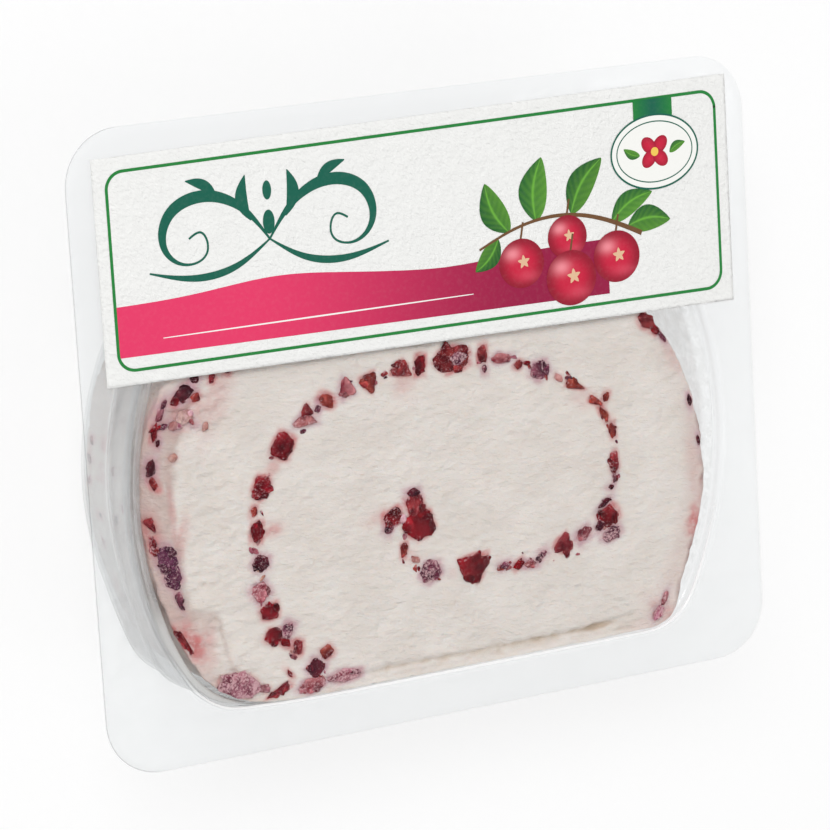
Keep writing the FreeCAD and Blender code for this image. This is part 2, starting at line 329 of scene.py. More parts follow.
def wall_ring(z):
    """Ring of the cavity wall at height z."""
    if z >= STEP_Z + SHEET:
        t = (z - STEP_Z - SHEET) / (LEDGE_Z - STEP_Z - SHEET)
        a, b = WALL_ABOVE, WALL_TOP
    else:
        t = (z - SHEET) / STEP_Z
        a, b = WALL_FOOT, WALL_BELOW
    t = min(max(t, 0.0), 1.0)
    return tuple(u + (v - u) * t for u, v in zip(a, b))


def corner(theta):
    """1 in the direction of the tray's near left corner, 0 away from it."""
    away = (np.asarray(theta) - CORNER_AT + math.pi) % (2 * math.pi) - math.pi
    return np.exp(-(away / CORNER_SPAN) ** 2)


def rim_reach(theta, grow=0.0):
    """Distance from the cavity's centre to the rim of the opening."""
    return reach(barrel(RIM, grow), theta) - RIM_TRIM * corner(theta)


def wall_reach(ring, theta, grow=0.0, low=1.0):
    """Distance from the cavity's centre to a ring of the wall; low is 0 at the ledge and 1 further down."""
    return reach(barrel(ring, grow), theta) + WALL_PUSH * low * corner(theta)


# --- making objects ---------------------------------------------------------------------
def quads(rows, columns, wrap):
    """Quads of a grid of rows by columns, closed across the columns if wrap."""
    last = columns if wrap else columns - 1
    r = np.arange(rows - 1)[:, None] * columns
    c = np.arange(last)[None, :]
    n = (c + 1) % columns
    return np.stack([r + c, r + n, r + columns + n, r + columns + c], -1).reshape(-1, 4)


def border(rows, columns):
    """Indices of the points round the edge of such a grid, anticlockwise."""
    return np.r_[np.arange(columns), np.arange(1, rows) * columns + columns - 1,
                 (rows - 1) * columns + np.arange(columns - 2, -1, -1), np.arange(rows - 2, 0, -1) * columns]


def add_piece(name, points, faces, material, replaces=(), attributes=None):
    """A mesh piece, given in millimetres, that rides on the pack. Attributes have a value for each point."""
    mesh = bpy.data.meshes.new(name)
    mesh.from_pydata((np.asarray(points) * MM).tolist(), [], [list(map(int, f)) for f in faces])
    mesh.materials.append(material)
    for key, values in (attributes or {}).items():
        values = np.asarray(values, np.float32)
        if values.ndim == 1:
            mesh.attributes.new(key, "FLOAT", "POINT").data.foreach_set("value", values)
        else:
            full = np.c_[values, np.ones(len(values), np.float32)]
            mesh.attributes.new(key, "FLOAT_COLOR", "POINT").data.foreach_set("color", full.ravel())
    mesh.polygons.foreach_set("use_smooth", [True] * len(mesh.polygons))
    mesh.update()
    mesh.validate()
    piece = bpy.data.objects.new(name, mesh)
    bpy.context.scene.collection.objects.link(piece)
    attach(piece, "root")
    if replaces:
        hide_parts(*replaces)
    return piece


class Shade:
    """The nodes of a new material, or of the world."""

    def __init__(self, name, owners=bpy.data.materials):
        self.owner = owners.new(name)
        self.owner.use_nodes = True
        self.tree = self.owner.node_tree
        self.tree.nodes.clear()

    def node(self, kind, inputs=None, **settings):
        made = self.tree.nodes.new("ShaderNode" + kind)
        for key, value in settings.items():
            setattr(made, key, value)
        for key, value in (inputs or {}).items():
            self.feed(made.inputs[key], value)
        return made

    def feed(self, socket, value):
        if isinstance(value, bpy.types.NodeSocket):
            self.tree.links.new(value, socket)
        else:
            socket.default_value = value

    def stretched(self, size, turn=0.0):
        """Row-frame coordinates in cells of the given size in millimetres."""
        scale = tuple(1 / (MM * s) for s in size)
        place = self.node("TexCoord").outputs["Object"]
        turned = self.node("Mapping", {"Vector": place, "Rotation": (0, 0, turn)})
        return self.node("Mapping", {"Vector": turned.outputs[0], "Scale": scale}).outputs[0]

    def noise_at(self, place, detail=2.0, rough=0.5):
        return self.node("TexNoise", {"Vector": place, "Scale": 1.0, "Detail": detail,
                                      "Roughness": rough}).outputs["Fac"]

    def noise(self, size, detail=2.0, rough=0.5, turn=0.0):
        return self.noise_at(self.stretched(size, turn), detail, rough)

    def attribute(self, name, output="Fac"):
        return self.node("Attribute", attribute_name=name).outputs[output]

    def math(self, operation, a, b=0.0, clamp=False, c=0.0):
        return self.node("Math", {0: a, 1: b, 2: c}, operation=operation, use_clamp=clamp).outputs[0]

    def between(self, value, low, high, out_low=0.0, out_high=1.0):
        """A soft ramp from out_low at low to out_high at high."""
        return self.node("MapRange", {"Value": value, "From Min": low, "From Max": high,
                                      "To Min": out_low, "To Max": out_high},
                         interpolation_type="SMOOTHSTEP").outputs[0]

    def lane_band(self, low, high, soft):
        """1 between two lanes of the tray, counted outward from the rim of its opening."""
        lane = self.attribute("lane")
        above, below = self.between(lane, low - soft, low), self.between(lane, high, high + soft, 1, 0)
        return self.math("MULTIPLY", above, below)

    def mix(self, factor, a, b, blend="MIX"):
        made = self.node("Mix", data_type="RGBA", blend_type=blend)
        for socket, value in zip((made.inputs[0], made.inputs[6], made.inputs[7]), (factor, a, b)):
            self.feed(socket, value)
        return made.outputs[2]

    def bump(self, height, distance, strength=1.0, normal=None):
        inputs = {"Height": height, "Distance": distance * MM, "Strength": strength}
        if normal is not None:
            inputs["Normal"] = normal
        return self.node("Bump", inputs).outputs[0]

    def seen(self):
        """1 for what the camera sees, also mirrored or through plastic, and 0 for light on the object."""
        path = self.node("LightPath").outputs
        return self.math("MAXIMUM", path["Is Camera Ray"], self.math(
            "MAXIMUM", path["Is Glossy Ray"], path["Is Transmission Ray"]))

    def finish(self, shader, output="OutputMaterial"):
        self.node(output, {"Surface": shader.outputs[0]})
        return self.owner


# --- materials --------------------------------------------------------------------------
RIPPLE_TURN = math.radians(9)


def cheese_material():
    """Pale grained cheese. Its mesh carries the painted shade of pits and crease, the slumped coat and its
    painted shade, painted shade on the right rim, juice and halo.
    """
    s = Shade("cream_cheese")
    tone = s.noise((9, 6, 9), 3)
    fine = s.noise((1.35, 0.7, 0.9), 3, 0.6, RIPPLE_TURN)
    colour = s.mix(s.between(tone, 0.3, 0.7), srgb(224, 217, 211), srgb(217, 209, 202))
    colour = s.mix(s.between(fine, 0.6, 0.8, 0, 0.14), colour, srgb(204, 192, 182))
    colour = s.mix(s.between(fine, 0.22, 0.42, 0.25, 0), colour, srgb(240, 236, 230))
    # painted shade: pits and the crease darker and browner by how deep they lie
    colour = s.mix(s.between(s.attribute("hollow_shade"), 0.6, 2.8, 0, 0.8), colour, srgb(178, 154, 128))
    blotch = s.noise((1.1, 1.0, 1.1), 4, 0.65)
    # the slumped coat: a pink juice film, partly painted shade where the shoulder falls away and along its
    # fold line
    coat_and_shade = s.math("MULTIPLY", s.attribute("coat_and_shade"), s.between(blotch, 0.2, 0.75, 1.0, 0.6))
    colour = s.mix(coat_and_shade, colour, srgb(176, 150, 142))
    # painted shade: a brown-grey band along the slice's right rim
    colour = s.mix(s.attribute("edge"), colour, srgb(132, 108, 104))
    juice = s.math("MULTIPLY", s.attribute("stain"), s.between(blotch, 0.25, 0.62, 0.45, 1.15))
    colour = s.mix(s.math("MINIMUM", juice, 0.9), colour, srgb(192, 104, 104))
    halo = s.math("MULTIPLY", s.attribute("lilac"), s.between(blotch, 0.3, 0.7, 0.4, 1.0))
    colour = s.mix(s.math("MINIMUM", halo, 0.7), colour, srgb(180, 150, 166))
    grain = s.noise((0.55, 0.3, 0.4), 3, 0.6, RIPPLE_TURN)
    coarse = s.noise((1.9, 0.85, 1.2), 3, 0.55, RIPPLE_TURN)
    normal = s.bump(grain, 0.16, 0.7, s.bump(coarse, 0.45, 0.8))
    return s.finish(s.node("BsdfPrincipled", {
        "Base Color": colour, "Roughness": s.between(grain, 0.3, 0.7, 0.5, 0.68), "Normal": normal,
        "Subsurface Weight": 0.35, "Subsurface Radius": (0.9, 0.6, 0.45), "Subsurface Scale": 0.0012,
        "Specular IOR Level": 0.35}))


def fruit_material():
    """Dried fruit: the mesh carries each bit's tone and how much of a frosting of cheese it has."""
    s = Shade("fruit")
    tone = s.attribute("tone", "Color")
    mottle = s.noise((0.9, 0.9, 0.9), 3, 0.6)
    streak = s.noise((0.5, 1.6, 0.7), 3, 0.6, math.radians(25))
    speck = s.noise((0.38, 0.38, 0.38), 3, 0.55)
    darker = s.mix(1.0, tone, (0.42, 0.35, 0.42, 1), "MULTIPLY")
    lighter = s.mix(1.0, tone, (1.6, 1.9, 1.9, 1), "MULTIPLY")
    skin = s.mix(s.between(mottle, 0.4, 0.7, 0, 0.65), tone, darker)
    skin = s.mix(s.between(streak, 0.48, 0.68, 0, 0.5), skin, lighter)
    patch = s.between(s.noise((1.6, 1.6, 1.6), 2), 0.3, 0.7, 0.5, 1.3)
    amount = s.math("MULTIPLY", s.attribute("frost"), patch)
    cover = s.between(s.math("MULTIPLY_ADD", amount, 0.26, c=speck), 0.60, 0.88)
    colour = s.mix(s.math("MULTIPLY", cover, 0.7), skin, srgb(216, 176, 180))
    normal = s.bump(speck, 0.07, 0.4, s.bump(mottle, 0.22, 0.6))
    return s.finish(s.node("BsdfPrincipled", {
        "Base Color": colour, "Roughness": s.between(cover, 0.0, 0.6, 0.34, 0.6), "Normal": normal,
        "Specular IOR Level": 0.07, "Specular Tint": (1, 0.7, 0.7, 1)}))


def tray_marks_and_light(s, share, colour):
    """Adds to the share and the colour of a pane's haze what the tray shows: painted shade on its lower left
    walls, ledge and edges, painted light over the shadow at the near left corner, painted highlights on the
    rim and the step, and a cheese film with crinkles and a crack. Each takes its place from the mesh, and its
    unevenness from a streak or a crinkle."""
    lanes = s.node("CombineXYZ", {0: s.attribute("lane"), 1: s.attribute("along"), 2: 0.0}).outputs[0]
    streak = s.noise_at(lanes, 3.0, 0.6)
    crinkle = s.noise((1.3, 2.2, 1.6), 3, 0.6, math.radians(-20))
    # painted shade: the ledge on the left is greyer, with darker lines at its bends, for the shaded gap
    # behind it
    left_ledge_shade = s.attribute("ledge")
    ledge = s.math("MULTIPLY", s.lane_band(-7.6, -3.6, 1.2), s.between(streak, 0.42, 0.6, 0.6, 1.1))
    ledge = s.math("MULTIPLY", ledge, left_ledge_shade)
    shade_lines = s.math("ADD", s.lane_band(-8.3, -7.7, 0.3), s.lane_band(-3.9, -3.4, 0.3))
    shade_lines = s.math("MULTIPLY", shade_lines, s.math("MULTIPLY", left_ledge_shade, s.between(streak, 0.4, 0.6, 0.3, 1)))
    on_film = s.attribute("film")
    film = s.math("MULTIPLY", on_film, s.between(crinkle, 0.35, 0.65, 0.3, 1.2))
    fold = s.between(s.math("ABSOLUTE", s.math("SUBTRACT", crinkle, 0.52)), 0.0, 0.022, 1, 0)
    crack = s.math("MULTIPLY", s.attribute("crack"), s.lane_band(-0.5, -0.3, 0.3))
    crack = s.math("MULTIPLY", crack, s.between(s.noise((2.5, 2.5, 2.5), 2), 0.4, 0.6, 0, 0.3))
    dark = s.math("MAXIMUM", s.math("MULTIPLY", s.math("MULTIPLY", on_film, fold), 0.08), crack)
    # painted highlights: a white line on the rim at the foot of the pack, and one along the step of the left
    # wall
    glint = s.math("MULTIPLY", s.lane_band(0.2, 1.3, 0.2), s.attribute("glint"))
    glint = s.math("MAXIMUM", glint, s.attribute("step"))
    # painted shade: grey at grazing angles, for the darker silhouette edges of the plastic
    outline = s.math("POWER", s.node("LayerWeight", {"Blend": 0.5}).outputs["Facing"], 9.0)
    # in order: painted shade grey, cheese film, painted shade on the left ledge and its lines, painted light
    # veil, dark crack and folds, painted highlights, painted shade at grazing angles
    for amount, weight, tint in (
            (s.attribute("painted_shade_grey"), 0.13, (186, 188, 189)), (film, 0.10, (230, 231, 229)),
            (ledge, 0.20, (196, 189, 186)), (shade_lines, 0.22, (138, 132, 129)),
            (s.attribute("painted_light_veil"), 0.72, (212, 212, 210)), (dark, 0.50, (112, 114, 116)),
            (glint, 0.95, (255, 255, 255)), (outline, 0.30, (150, 154, 157))):
        share = s.math("MULTIPLY_ADD", amount, weight, True, c=share)
        colour = s.mix(amount, colour, srgb(*tint))
    return share, colour


def pane_material(name, tint, haze_colour, haze, milk, shine, rough, ripple=0.0, marks_and_light=None):
    """Thin clear plastic: mostly see-through, with a haze, more milk where it is sealed, and a
    shine at grazing angles."""
    s = Shade(name)
    clear = s.node("BsdfTransparent", {"Color": tint})
    mottle = s.noise((14, 9, 14), 3)
    haze = s.math("MULTIPLY_ADD", s.attribute("sealed"), milk, c=haze)
    share = s.math("MULTIPLY", haze, s.between(mottle, 0.3, 0.7, 0.92, 1.08))
    if marks_and_light:
        share, haze_colour = marks_and_light(s, share, haze_colour)
    scatter = s.node("MixShader", {
        0: 0.2, 1: s.node("BsdfDiffuse", {"Color": haze_colour}).outputs[0],
        2: s.node("BsdfTranslucent", {"Color": haze_colour}).outputs[0]})
    body = s.node("MixShader", {0: share, 1: clear.outputs[0], 2: scatter.outputs[0]})
    surface = {"Normal": s.bump(s.noise((6, 6, 2.5), 2), ripple)} if ripple else {}
    gloss = s.node("BsdfGlossy", {"Color": (1, 1, 1, 1), "Roughness": rough, **surface})
    facing = s.node("LayerWeight", {"Blend": 0.5, **surface}).outputs["Facing"]
    grazing = s.math("MULTIPLY_ADD", s.math("POWER", facing, 4.0), 0.75, c=0.025)
    return s.finish(s.node("MixShader", {
        0: s.math("MULTIPLY", grazing, shine), 1: body.outputs[0], 2: gloss.outputs[0]}))


def felt(s, depth=1.0):
    """Bump of felt-marked paper, shared by the paper and its print."""
    broad = s.noise((0.85, 0.6, 0.85), 3, 0.55, math.radians(35))
    fine = s.noise((0.4, 0.3, 0.4), 2, 0.6)
    return s.bump(fine, 0.06, 0.6, s.bump(broad, 0.34, depth))


def paper_material():
    s = Shade("label_paper")
    colour = s.mix(s.noise((3, 2, 3), 3), srgb(243, 243, 241), srgb(236, 236, 234))
    rough = s.between(s.noise((0.5, 0.5, 0.5)), 0.3, 0.7, 0.72, 0.88)
    return s.finish(s.node("BsdfPrincipled", {
        "Base Color": colour, "Roughness": rough, "Normal": felt(s), "Specular IOR Level": 0.25}))


def print_material():
    """Flat inks on the label: the colour is carried by the mesh, with a little mottle."""
    s = Shade("label_ink")
    mottle = s.noise((0.6, 0.6, 0.6), 3)
    colour = s.mix(s.between(mottle, 0.4, 0.8, 0.0, 0.02), s.attribute("ink", "Color"), srgb(240, 238, 236))
    rough = s.between(mottle, 0.3, 0.7, 0.5, 0.62)
    return s.finish(s.node("BsdfPrincipled", {
        "Base Color": colour, "Roughness": rough, "Normal": felt(s, 0.15), "Specular IOR Level": 0.2}))


# --- the slice of cheese ------------------------------------------------------------------
OUTLINE = spline(SLICE_OUTLINE, 900, closed=True)
CREASE_LINE = spline(CREASE, 120)
LAYER_LINE = spline(LAYER_PATH, 260)
COAT_Y, COAT_X = np.array(COAT_EDGE).T
ALL_BITS = FACE_BITS + COAT_BITS
FACE_ROWS = 258
BASE_Z = SLICE_LOW + 0.02
EDGE_STEPS = (0.25, 0.5, 0.75, 1.0)
SIDE_STEPS = (0.02, 0.04, 0.06, 0.09, 0.12, 0.16, 0.21, 0.27, 0.33, 0.4, 0.47, 0.54, 0.6, 0.66, 0.73, 0.8,
              0.86, 0.91, 0.94, 0.97, 1.0)
BASE_STEPS = (0.93, 0.8, 0.55, 0.3, 0.1)


def near(x, y, line):
    """Distance to a sampled line, and how far along it the nearest sample is, 0 to 1."""
    best = np.full(np.shape(x), 1e9)
    along = np.zeros(np.shape(x))
    for k, (px, py) in enumerate(line):
        d = np.hypot(x - px, y - py)
        closer = d < best
        best = np.where(closer, d, best)
        along = np.where(closer, k / (len(line) - 1), along)
    return best, along


def level(x):
    """Height of the cut face without its fine relief: flat, with the left shoulder slumped."""
    return SLICE_TOP - 0.1 - SHOULDER_DROP * np.clip((SHOULDER_X - x) / SHOULDER_RUN, 0, 1.15) ** 3


def coat_gap(x, y):
    """How far a point lies to the right of the slumped coat's edge line, nearly square to it."""
    slope = np.interp(y + 0.5, COAT_Y, COAT_X) - np.interp(y - 0.5, COAT_Y, COAT_X)
    return (x - np.interp(y, COAT_Y, COAT_X)) / np.sqrt(1 + slope ** 2)


def relief(x, y):
    """Fine relief of the cut face: ripples left by the cut, pits, a crease and a fold."""
    c, s = math.cos(RIPPLE_TURN), math.sin(RIPPLE_TURN)
    u, v = c * x - s * y, s * x + c * y
    rough = 1 + 0.8 * smooth((-28 - x) / 12) - 0.75 * smooth((-42.5 - x) / 3) - 0.7 * smooth((x - 45) / 3)
    h = 0.12 * noise(u / 1.5, v / 0.9, seed=3) + 0.06 * noise(u / 0.8, v / 0.5, seed=4)
    h = h + 0.10 * noise(u / 6, v / 3.5, seed=5)
    pit = smooth((noise(u / 1.25, v / 0.8, seed=6) - 0.55) / 0.3)
    h = h * rough - 0.14 * pit * np.clip(rough, 0, 2)
    gap, along = near(x, y, CREASE_LINE)
    ends = smooth(along / 0.06) * smooth((1 - along) / 0.06)
    deep = 0.42 + 0.6 * np.exp(-((x - 28.5) / 3.0) ** 2) + 0.2 * noise(x / 2.6, 0.0, seed=7)
    h = h - deep * ends * np.exp(-((gap + 0.15 * noise(x / 1.2, y / 1.2, seed=10)) / 0.5) ** 2)
    h = h - 0.35 * smooth((-40.9 - y) / 0.8) * smooth((x + 17) / 2) * smooth((39 - x) / 3)
    fold = (0.16 + 0.3 * smooth((-21 - y) / 4)) * np.exp(-(coat_gap(x, y) / 0.4) ** 2)
    return h - fold * smooth((y + 33) / 3) * smooth((4 - y) / 3)


def corner_reach(u, v, corners):
    """How far out a point lies on a polygon that just fills -1 to 1: 1 is its edge."""
    turns = 2 * math.pi * (np.arange(corners) + 0.5) / corners
    vx, vy = np.cos(turns), np.sin(turns)
    x = 0.5 * (vx.max() + vx.min()) + 0.5 * u * (vx.max() - vx.min())
    y = 0.5 * v * (vy.max() - vy.min())
    sides = [x * math.cos(a) + y * math.sin(a) for a in 2 * math.pi * np.arange(corners) / corners]
    return np.maximum.reduce(sides) / math.cos(math.pi / corners)


def turned(x, y, at, degrees):
    """x and y in the frame of a bit of fruit or a smear that lies at a place, turned."""
    a = math.radians(degrees)
    dx, dy = x - at[0], y - at[1]
    return dx * math.cos(a) + dy * math.sin(a), -dx * math.sin(a) + dy * math.cos(a)


def stains(x, y):
    """Red juice and lilac halo round the fruit."""
    stain = np.zeros(np.shape(x))
    lilac = np.zeros(np.shape(x))
    wobble = 0.5 * noise(x / 1.4, y / 1.4, seed=11)
    for bx, by, long, wide, turn, tone, _, corners in ALL_BITS:
        u, v = turned(x, y, (bx, by), turn)
        u, v = u / (long / 2), v / (wide / 2)
        out = 0.55 * corner_reach(u, v, corners) + 0.45 * np.hypot(u, v)
        gap = (out - 1) * math.sqrt(long * wide) / 2 + 0.45 * wobble
        strength = 0.8 if tone in ("deep", "rust", "brick") else 0.3 if tone in ("milk", "tan") else 0.55
        stain = np.maximum(stain, strength * np.exp(-np.clip((gap + 0.2) / 0.6, 0, 9) ** 2))
        if tone in ("dark", "pink", "plum", "purple", "mauve"):
            lilac = np.maximum(lilac, 0.55 * np.exp(-np.clip(gap / 0.8, 0, 9) ** 2))
    for bx, by, long, wide, turn, strength in SMEARS:
        u, v = turned(x, y, (bx, by), turn)
        r = np.hypot(u / long, v / wide) + 0.5 * wobble
        stain = np.maximum(stain, strength * np.exp(-np.clip(r - 0.3, 0, 9) ** 2))
    gap = near(x, y, LAYER_LINE)[0]
    trail = 0.16 * smooth((noise(x / 2.2, y / 2.2, seed=12) + 0.3) / 0.8)
    return np.maximum(stain, trail * np.exp(-gap ** 2)), lilac


def at_foot(theta):
    """1 in directions towards the foot of the pack, 0 in the rest."""
    return smooth((-np.sin(theta) - 0.4) / 0.3)


def lip_reach(theta):
    """Distance to the edge of the cut face, whose soft lip is pressed out at the foot of the pack."""
    theta = np.asarray(theta)
    foot = at_foot(theta)
    push = LIP_PUSH * foot + LIP_CORNER_PUSH * np.exp(-((theta - LIP_CORNER_AT) / LIP_CORNER_SPAN) ** 2)
    ragged = 0.14 * noise(theta * 50 / 2.2, 0.0, seed=13) + 0.10 * noise(theta * 50 / 0.9, 0.0, seed=14)
    return np.minimum(reach(OUTLINE, theta) + push + ragged, rim_reach(theta) - 0.15 + 0.25 * foot)


def lip_round(theta):
    """Radius of the cut face's soft edge."""
    return 0.6 - 0.42 * at_foot(theta)


def side_reach(theta, z):
    """Distance from the cavity's centre to the slice's side at height z."""
    r = lip_reach(theta)
    if z < LEDGE_Z:
        r = np.minimum(reach(OUTLINE, theta), reach(barrel(wall_ring(z), -SLICE_FIT), theta))
    foot = max(0.0, FLOOR_ROUND - (z - SLICE_LOW))
    if foot > 0:
        r = r - (FLOOR_ROUND - math.sqrt(max(FLOOR_ROUND ** 2 - foot ** 2, 0)))
    return r


def disc_grid(n):
    """A square grid of n by n points bent to a disc: their directions and distances, 0 to 1. An
    even n leaves no point at the middle."""
    a, b = np.meshgrid(np.linspace(-1, 1, n), np.linspace(-1, 1, n))
    wide = np.abs(a) > np.abs(b)
    r = np.where(wide, a, b)
    phi = np.where(wide, math.pi / 4 * b / a, math.pi / 2 - math.pi / 4 * a / b)
    return np.arctan2(r * np.sin(phi), r * np.cos(phi)).ravel(), np.abs(r).ravel()


def slice_rings(theta, top_z):
    """The slice's rings from the edge of its cut face to the middle of its base: distances and heights."""
    edge, outer = lip_round(theta), lip_reach(theta)
    for t in EDGE_STEPS:
        q = t * math.pi / 2
        yield outer - edge * (1 - math.sin(q)), top_z - edge * (1 - math.cos(q))
    for t in SIDE_STEPS:
        z = (top_z - edge) * (1 - t) + BASE_Z * t
        r = side_reach(theta, float(SLICE_TOP * (1 - t) + SLICE_LOW * t))
        x, y = r * np.cos(theta), r * np.sin(theta)
        lump = noise(CAVITY[0] + x / 3.0, y / 3.0, z / 3.0, seed=21)
        pore = smooth((noise(x / 1.4, y / 1.4, z / 1.1, seed=22) - 0.35) / 0.4)
        r = r - (0.25 + 0.22 * lump + 0.3 * pore) * min(1.0, t * 12)
        yield r, z
    for t in BASE_STEPS:
        yield r * t, np.full(len(theta), BASE_Z)


def slice_looks(points, rise):
    """What the slice's mesh carries for its material. Its first points are the cut face, with their rise."""
    x, y, z = points.T
    r, angle = to_centre(x, y)
    inset = lip_reach(angle) - r + 0.35 * noise(x / 1.5, y / 1.5, seed=8)
    top = smooth((z - (level(x) - 2.5)) / 1.5)
    stain, lilac = stains(x, y)
    stain = np.maximum(stain * top, 0.10 * smooth((r - 46) / 4))
    wobble = 0.55 * noise(x / 1.3, y / 1.3, z / 1.3, seed=23)
    for x0, y0, z0, size, strength in SIDE_SPOTS:
        d = np.sqrt((x - x0) ** 2 + (y - y0) ** 2 + (z - z0) ** 2)
        stain = np.maximum(stain, strength * np.exp(-np.clip(d / size + wobble - 0.5, 0, 9) ** 2 / 0.3))
    # painted shade: how far each point of the cut face lies below its level, for darker pits and crease
    hollow_shade = np.zeros(len(points))
    hollow_shade[:len(rise)] = np.clip(-rise / 0.35, 0, 2.4)
    # painted shade: a patchy brown-grey band along the right rim of the cut face
    right = smooth((x - 38) / 8) * smooth((-6 - y) / 6)
    patchy = np.clip(0.6 + 0.6 * noise(x / 2.4, y / 2.4, seed=15), 0, 1)
    edge = 0.8 * patchy * right * smooth((1.1 - inset) / 0.8) * smooth((z - 24) / 2)
    # pink film of the coat, with painted shade on the slumped shoulder, along its fold line and near the
    # right and lower left edges
    gap = coat_gap(x, y) + 0.4 * noise(x / 1.6, y / 1.6, seed=9)
    slumped = 0.78 * smooth(0.5 - gap) * smooth((12 - y) / 6) * smooth((y + 31.5) / 6)
    line = 0.45 * np.exp(-(gap / 0.45) ** 2) * smooth((3 - y) / 2)
    far_right = 0.16 * smooth((5.5 - inset) / 3.5) * smooth((x - 30) / 10)
    low_left = 0.5 * smooth((-34 - y) / 5) * smooth((-30 - x) / 6) * smooth((3 - inset) / 2)
    coat_and_shade = np.maximum.reduce([slumped, line, far_right, low_left]) * smooth((z - 21) / 4)
    return {"stain": stain, "lilac": lilac * top, "hollow_shade": hollow_shade, "edge": edge, "coat_and_shade": coat_and_shade}


def make_cheese():
    theta, radius = disc_grid(FACE_ROWS)
    x, y = from_centre(radius * (lip_reach(theta) - lip_round(theta)), theta)
    rise = relief(x, y) * (0.35 + 0.65 * smooth((1 - radius) / 0.02))
    z = level(x) + rise
    ring = border(FACE_ROWS, FACE_ROWS)
    points = [np.c_[x, y, z]]
    faces = quads(FACE_ROWS, FACE_ROWS, False).tolist()
    total, upper = len(x), ring
    for r, ring_z in slice_rings(theta[ring], z[ring]):
        points.append(np.c_[(*from_centre(r, theta[ring]), ring_z)])
        lower = np.arange(total, total + len(ring))
        faces += np.c_[lower, np.roll(lower, -1), np.roll(upper, -1), upper].tolist()
        total, upper = total + len(ring), lower
    points = np.vstack(points + [[[*CAVITY, BASE_Z]]])
    faces += [[int(a), total, int(b)] for a, b in zip(upper, np.roll(upper, -1))]
    return add_piece("cheese_slice", points, faces, cheese_material(), ("cheese",),
                     attributes=slice_looks(points, rise))


# --- fruit ----------------------------------------------------------------------------------
SIDE_BITS = 120
CRUMBS = 80
BASE_BITS = 60
CRUMB_TONES = ("deep", "rust", "pink", "brick", "mauve", "tan", "plum")
SIDE_TONES = ("deep", "plum", "brick", "rust", "pink")
BASE_TONES = ("deep", "deep", "plum", "brick", "rust")


def ball(subdivisions):
    """Unit icosphere as points and triangles."""
    bm = bmesh.new()
    bmesh.ops.create_icosphere(bm, subdivisions=subdivisions, radius=1.0)
    points = np.array([v.co[:] for v in bm.verts])
    faces = np.array([[v.index for v in f.verts] for f in bm.faces])
    bm.free()
    return points, faces


BALLS = {k: ball(k) for k in (2, 3, 4, 5)}


def chunk(draw, size, normal, spin, detail, corners=0, placed=False):
    """One torn piece about the origin, its flat top along normal: points, faces, lightness and rim."""
    unit, faces = BALLS[detail]
    p = unit.copy()
    corners = corners or draw.randint(3, 5)
    if placed:
        start = 0.45 if corners == 4 and size[0] > 1.35 * size[1] else 0.0
    else:
        start = draw.uniform(0, 2 * math.pi)
    for k in range(corners):
        a = start + 2 * math.pi * (k + draw.uniform(-0.12, 0.12)) / corners
        n = np.array([math.cos(a), math.sin(a), draw.uniform(-0.1, 0.2)])
        n /= np.linalg.norm(n)
        over = np.maximum(p @ n - math.cos(math.pi / corners) * draw.uniform(0.98, 1.2), 0)
        p -= over[:, None] * n * 0.82
    shift = np.array([draw.uniform(0, 50) for _ in range(3)])
    swell = 0.0
    for cell, amount in ((1.6, 0.11), (3.6, 0.095), (7.5, 0.075), (15.0, 0.045)):
        q = unit * cell + shift
        swell = swell + amount * noise(q[:, 0], q[:, 1], q[:, 2], seed=31)
    p *= (1 + swell)[:, None]
    span = p.max(0) - p.min(0)
    p = (p - (p.max(0) + p.min(0)) / 2) / span * np.array(size)
    p[:, 2] = np.where(p[:, 2] > 0, p[:, 2] * min(1.0, 0.75 / size[2]), p[:, 2])
    t = draw.uniform(0, 2 * math.pi)
    across = 2 * (p[:, 0] * math.cos(t) / size[0] + p[:, 1] * math.sin(t) / size[1])
    rim = np.clip(np.hypot(p[:, 0] / size[0], p[:, 1] / size[1]) * 2, 0, 1)
    patch = noise(unit[:, 0] * 2.2 + shift[0], unit[:, 1] * 2.2 + shift[1], 0.0, seed=34)
    light = np.clip(0.38 + 0.42 * across + 0.38 * patch + 0.3 * rim ** 4, 0, 1)
    c, s = math.cos(spin), math.sin(spin)
    p = p @ np.array([[c, s, 0], [-s, c, 0], [0, 0, 1]])
    turn = np.array(Vector((0, 0, 1)).rotation_difference(Vector(normal).normalized()).to_matrix())
    return p @ turn.T, faces, light, smooth((rim - 0.62) / 0.3)


class Heap:
    """Many small pieces joined in one mesh."""

    def __init__(self):
        self.points, self.faces, self.tone, self.frost, self.count = [], [], [], [], 0

    def add(self, at, made, tone, frost):
        p, f, light, rim = made
        dark_side, light_side = tone
        self.points.append(p + at)
        self.faces.append(f + self.count)
        self.tone.append(np.clip(dark_side + (light_side - dark_side) * light[:, None], 0, 1))
        self.frost.append(frost + 0.3 * rim)
        self.count += len(p)


def face_normal(x):
    """The way that the cut face looks, which turns only where its shoulder slumps."""
    e = 0.4
    slope = float(level(x + e) - level(x - e)) / (2 * e)
    return (-slope, 0.0, 1.0)


def toned(draw, tone, share=1.0):
    """The dark and light sides of a tone, a little varied."""
    brightness = share * draw.uniform(0.8, 1.2)
    change = brightness * np.array([1, draw.uniform(0.9, 1.1), draw.uniform(0.95, 1.15)])
    return [np.array(side) * change for side in TONES[tone]]


def on_side(theta, z, depth):
    """x, y and z of a place a little inside the slice's side."""
    x, y = from_centre(float(side_reach(np.array([theta]), z)[0]) - depth, theta)
    return float(x), float(y), z


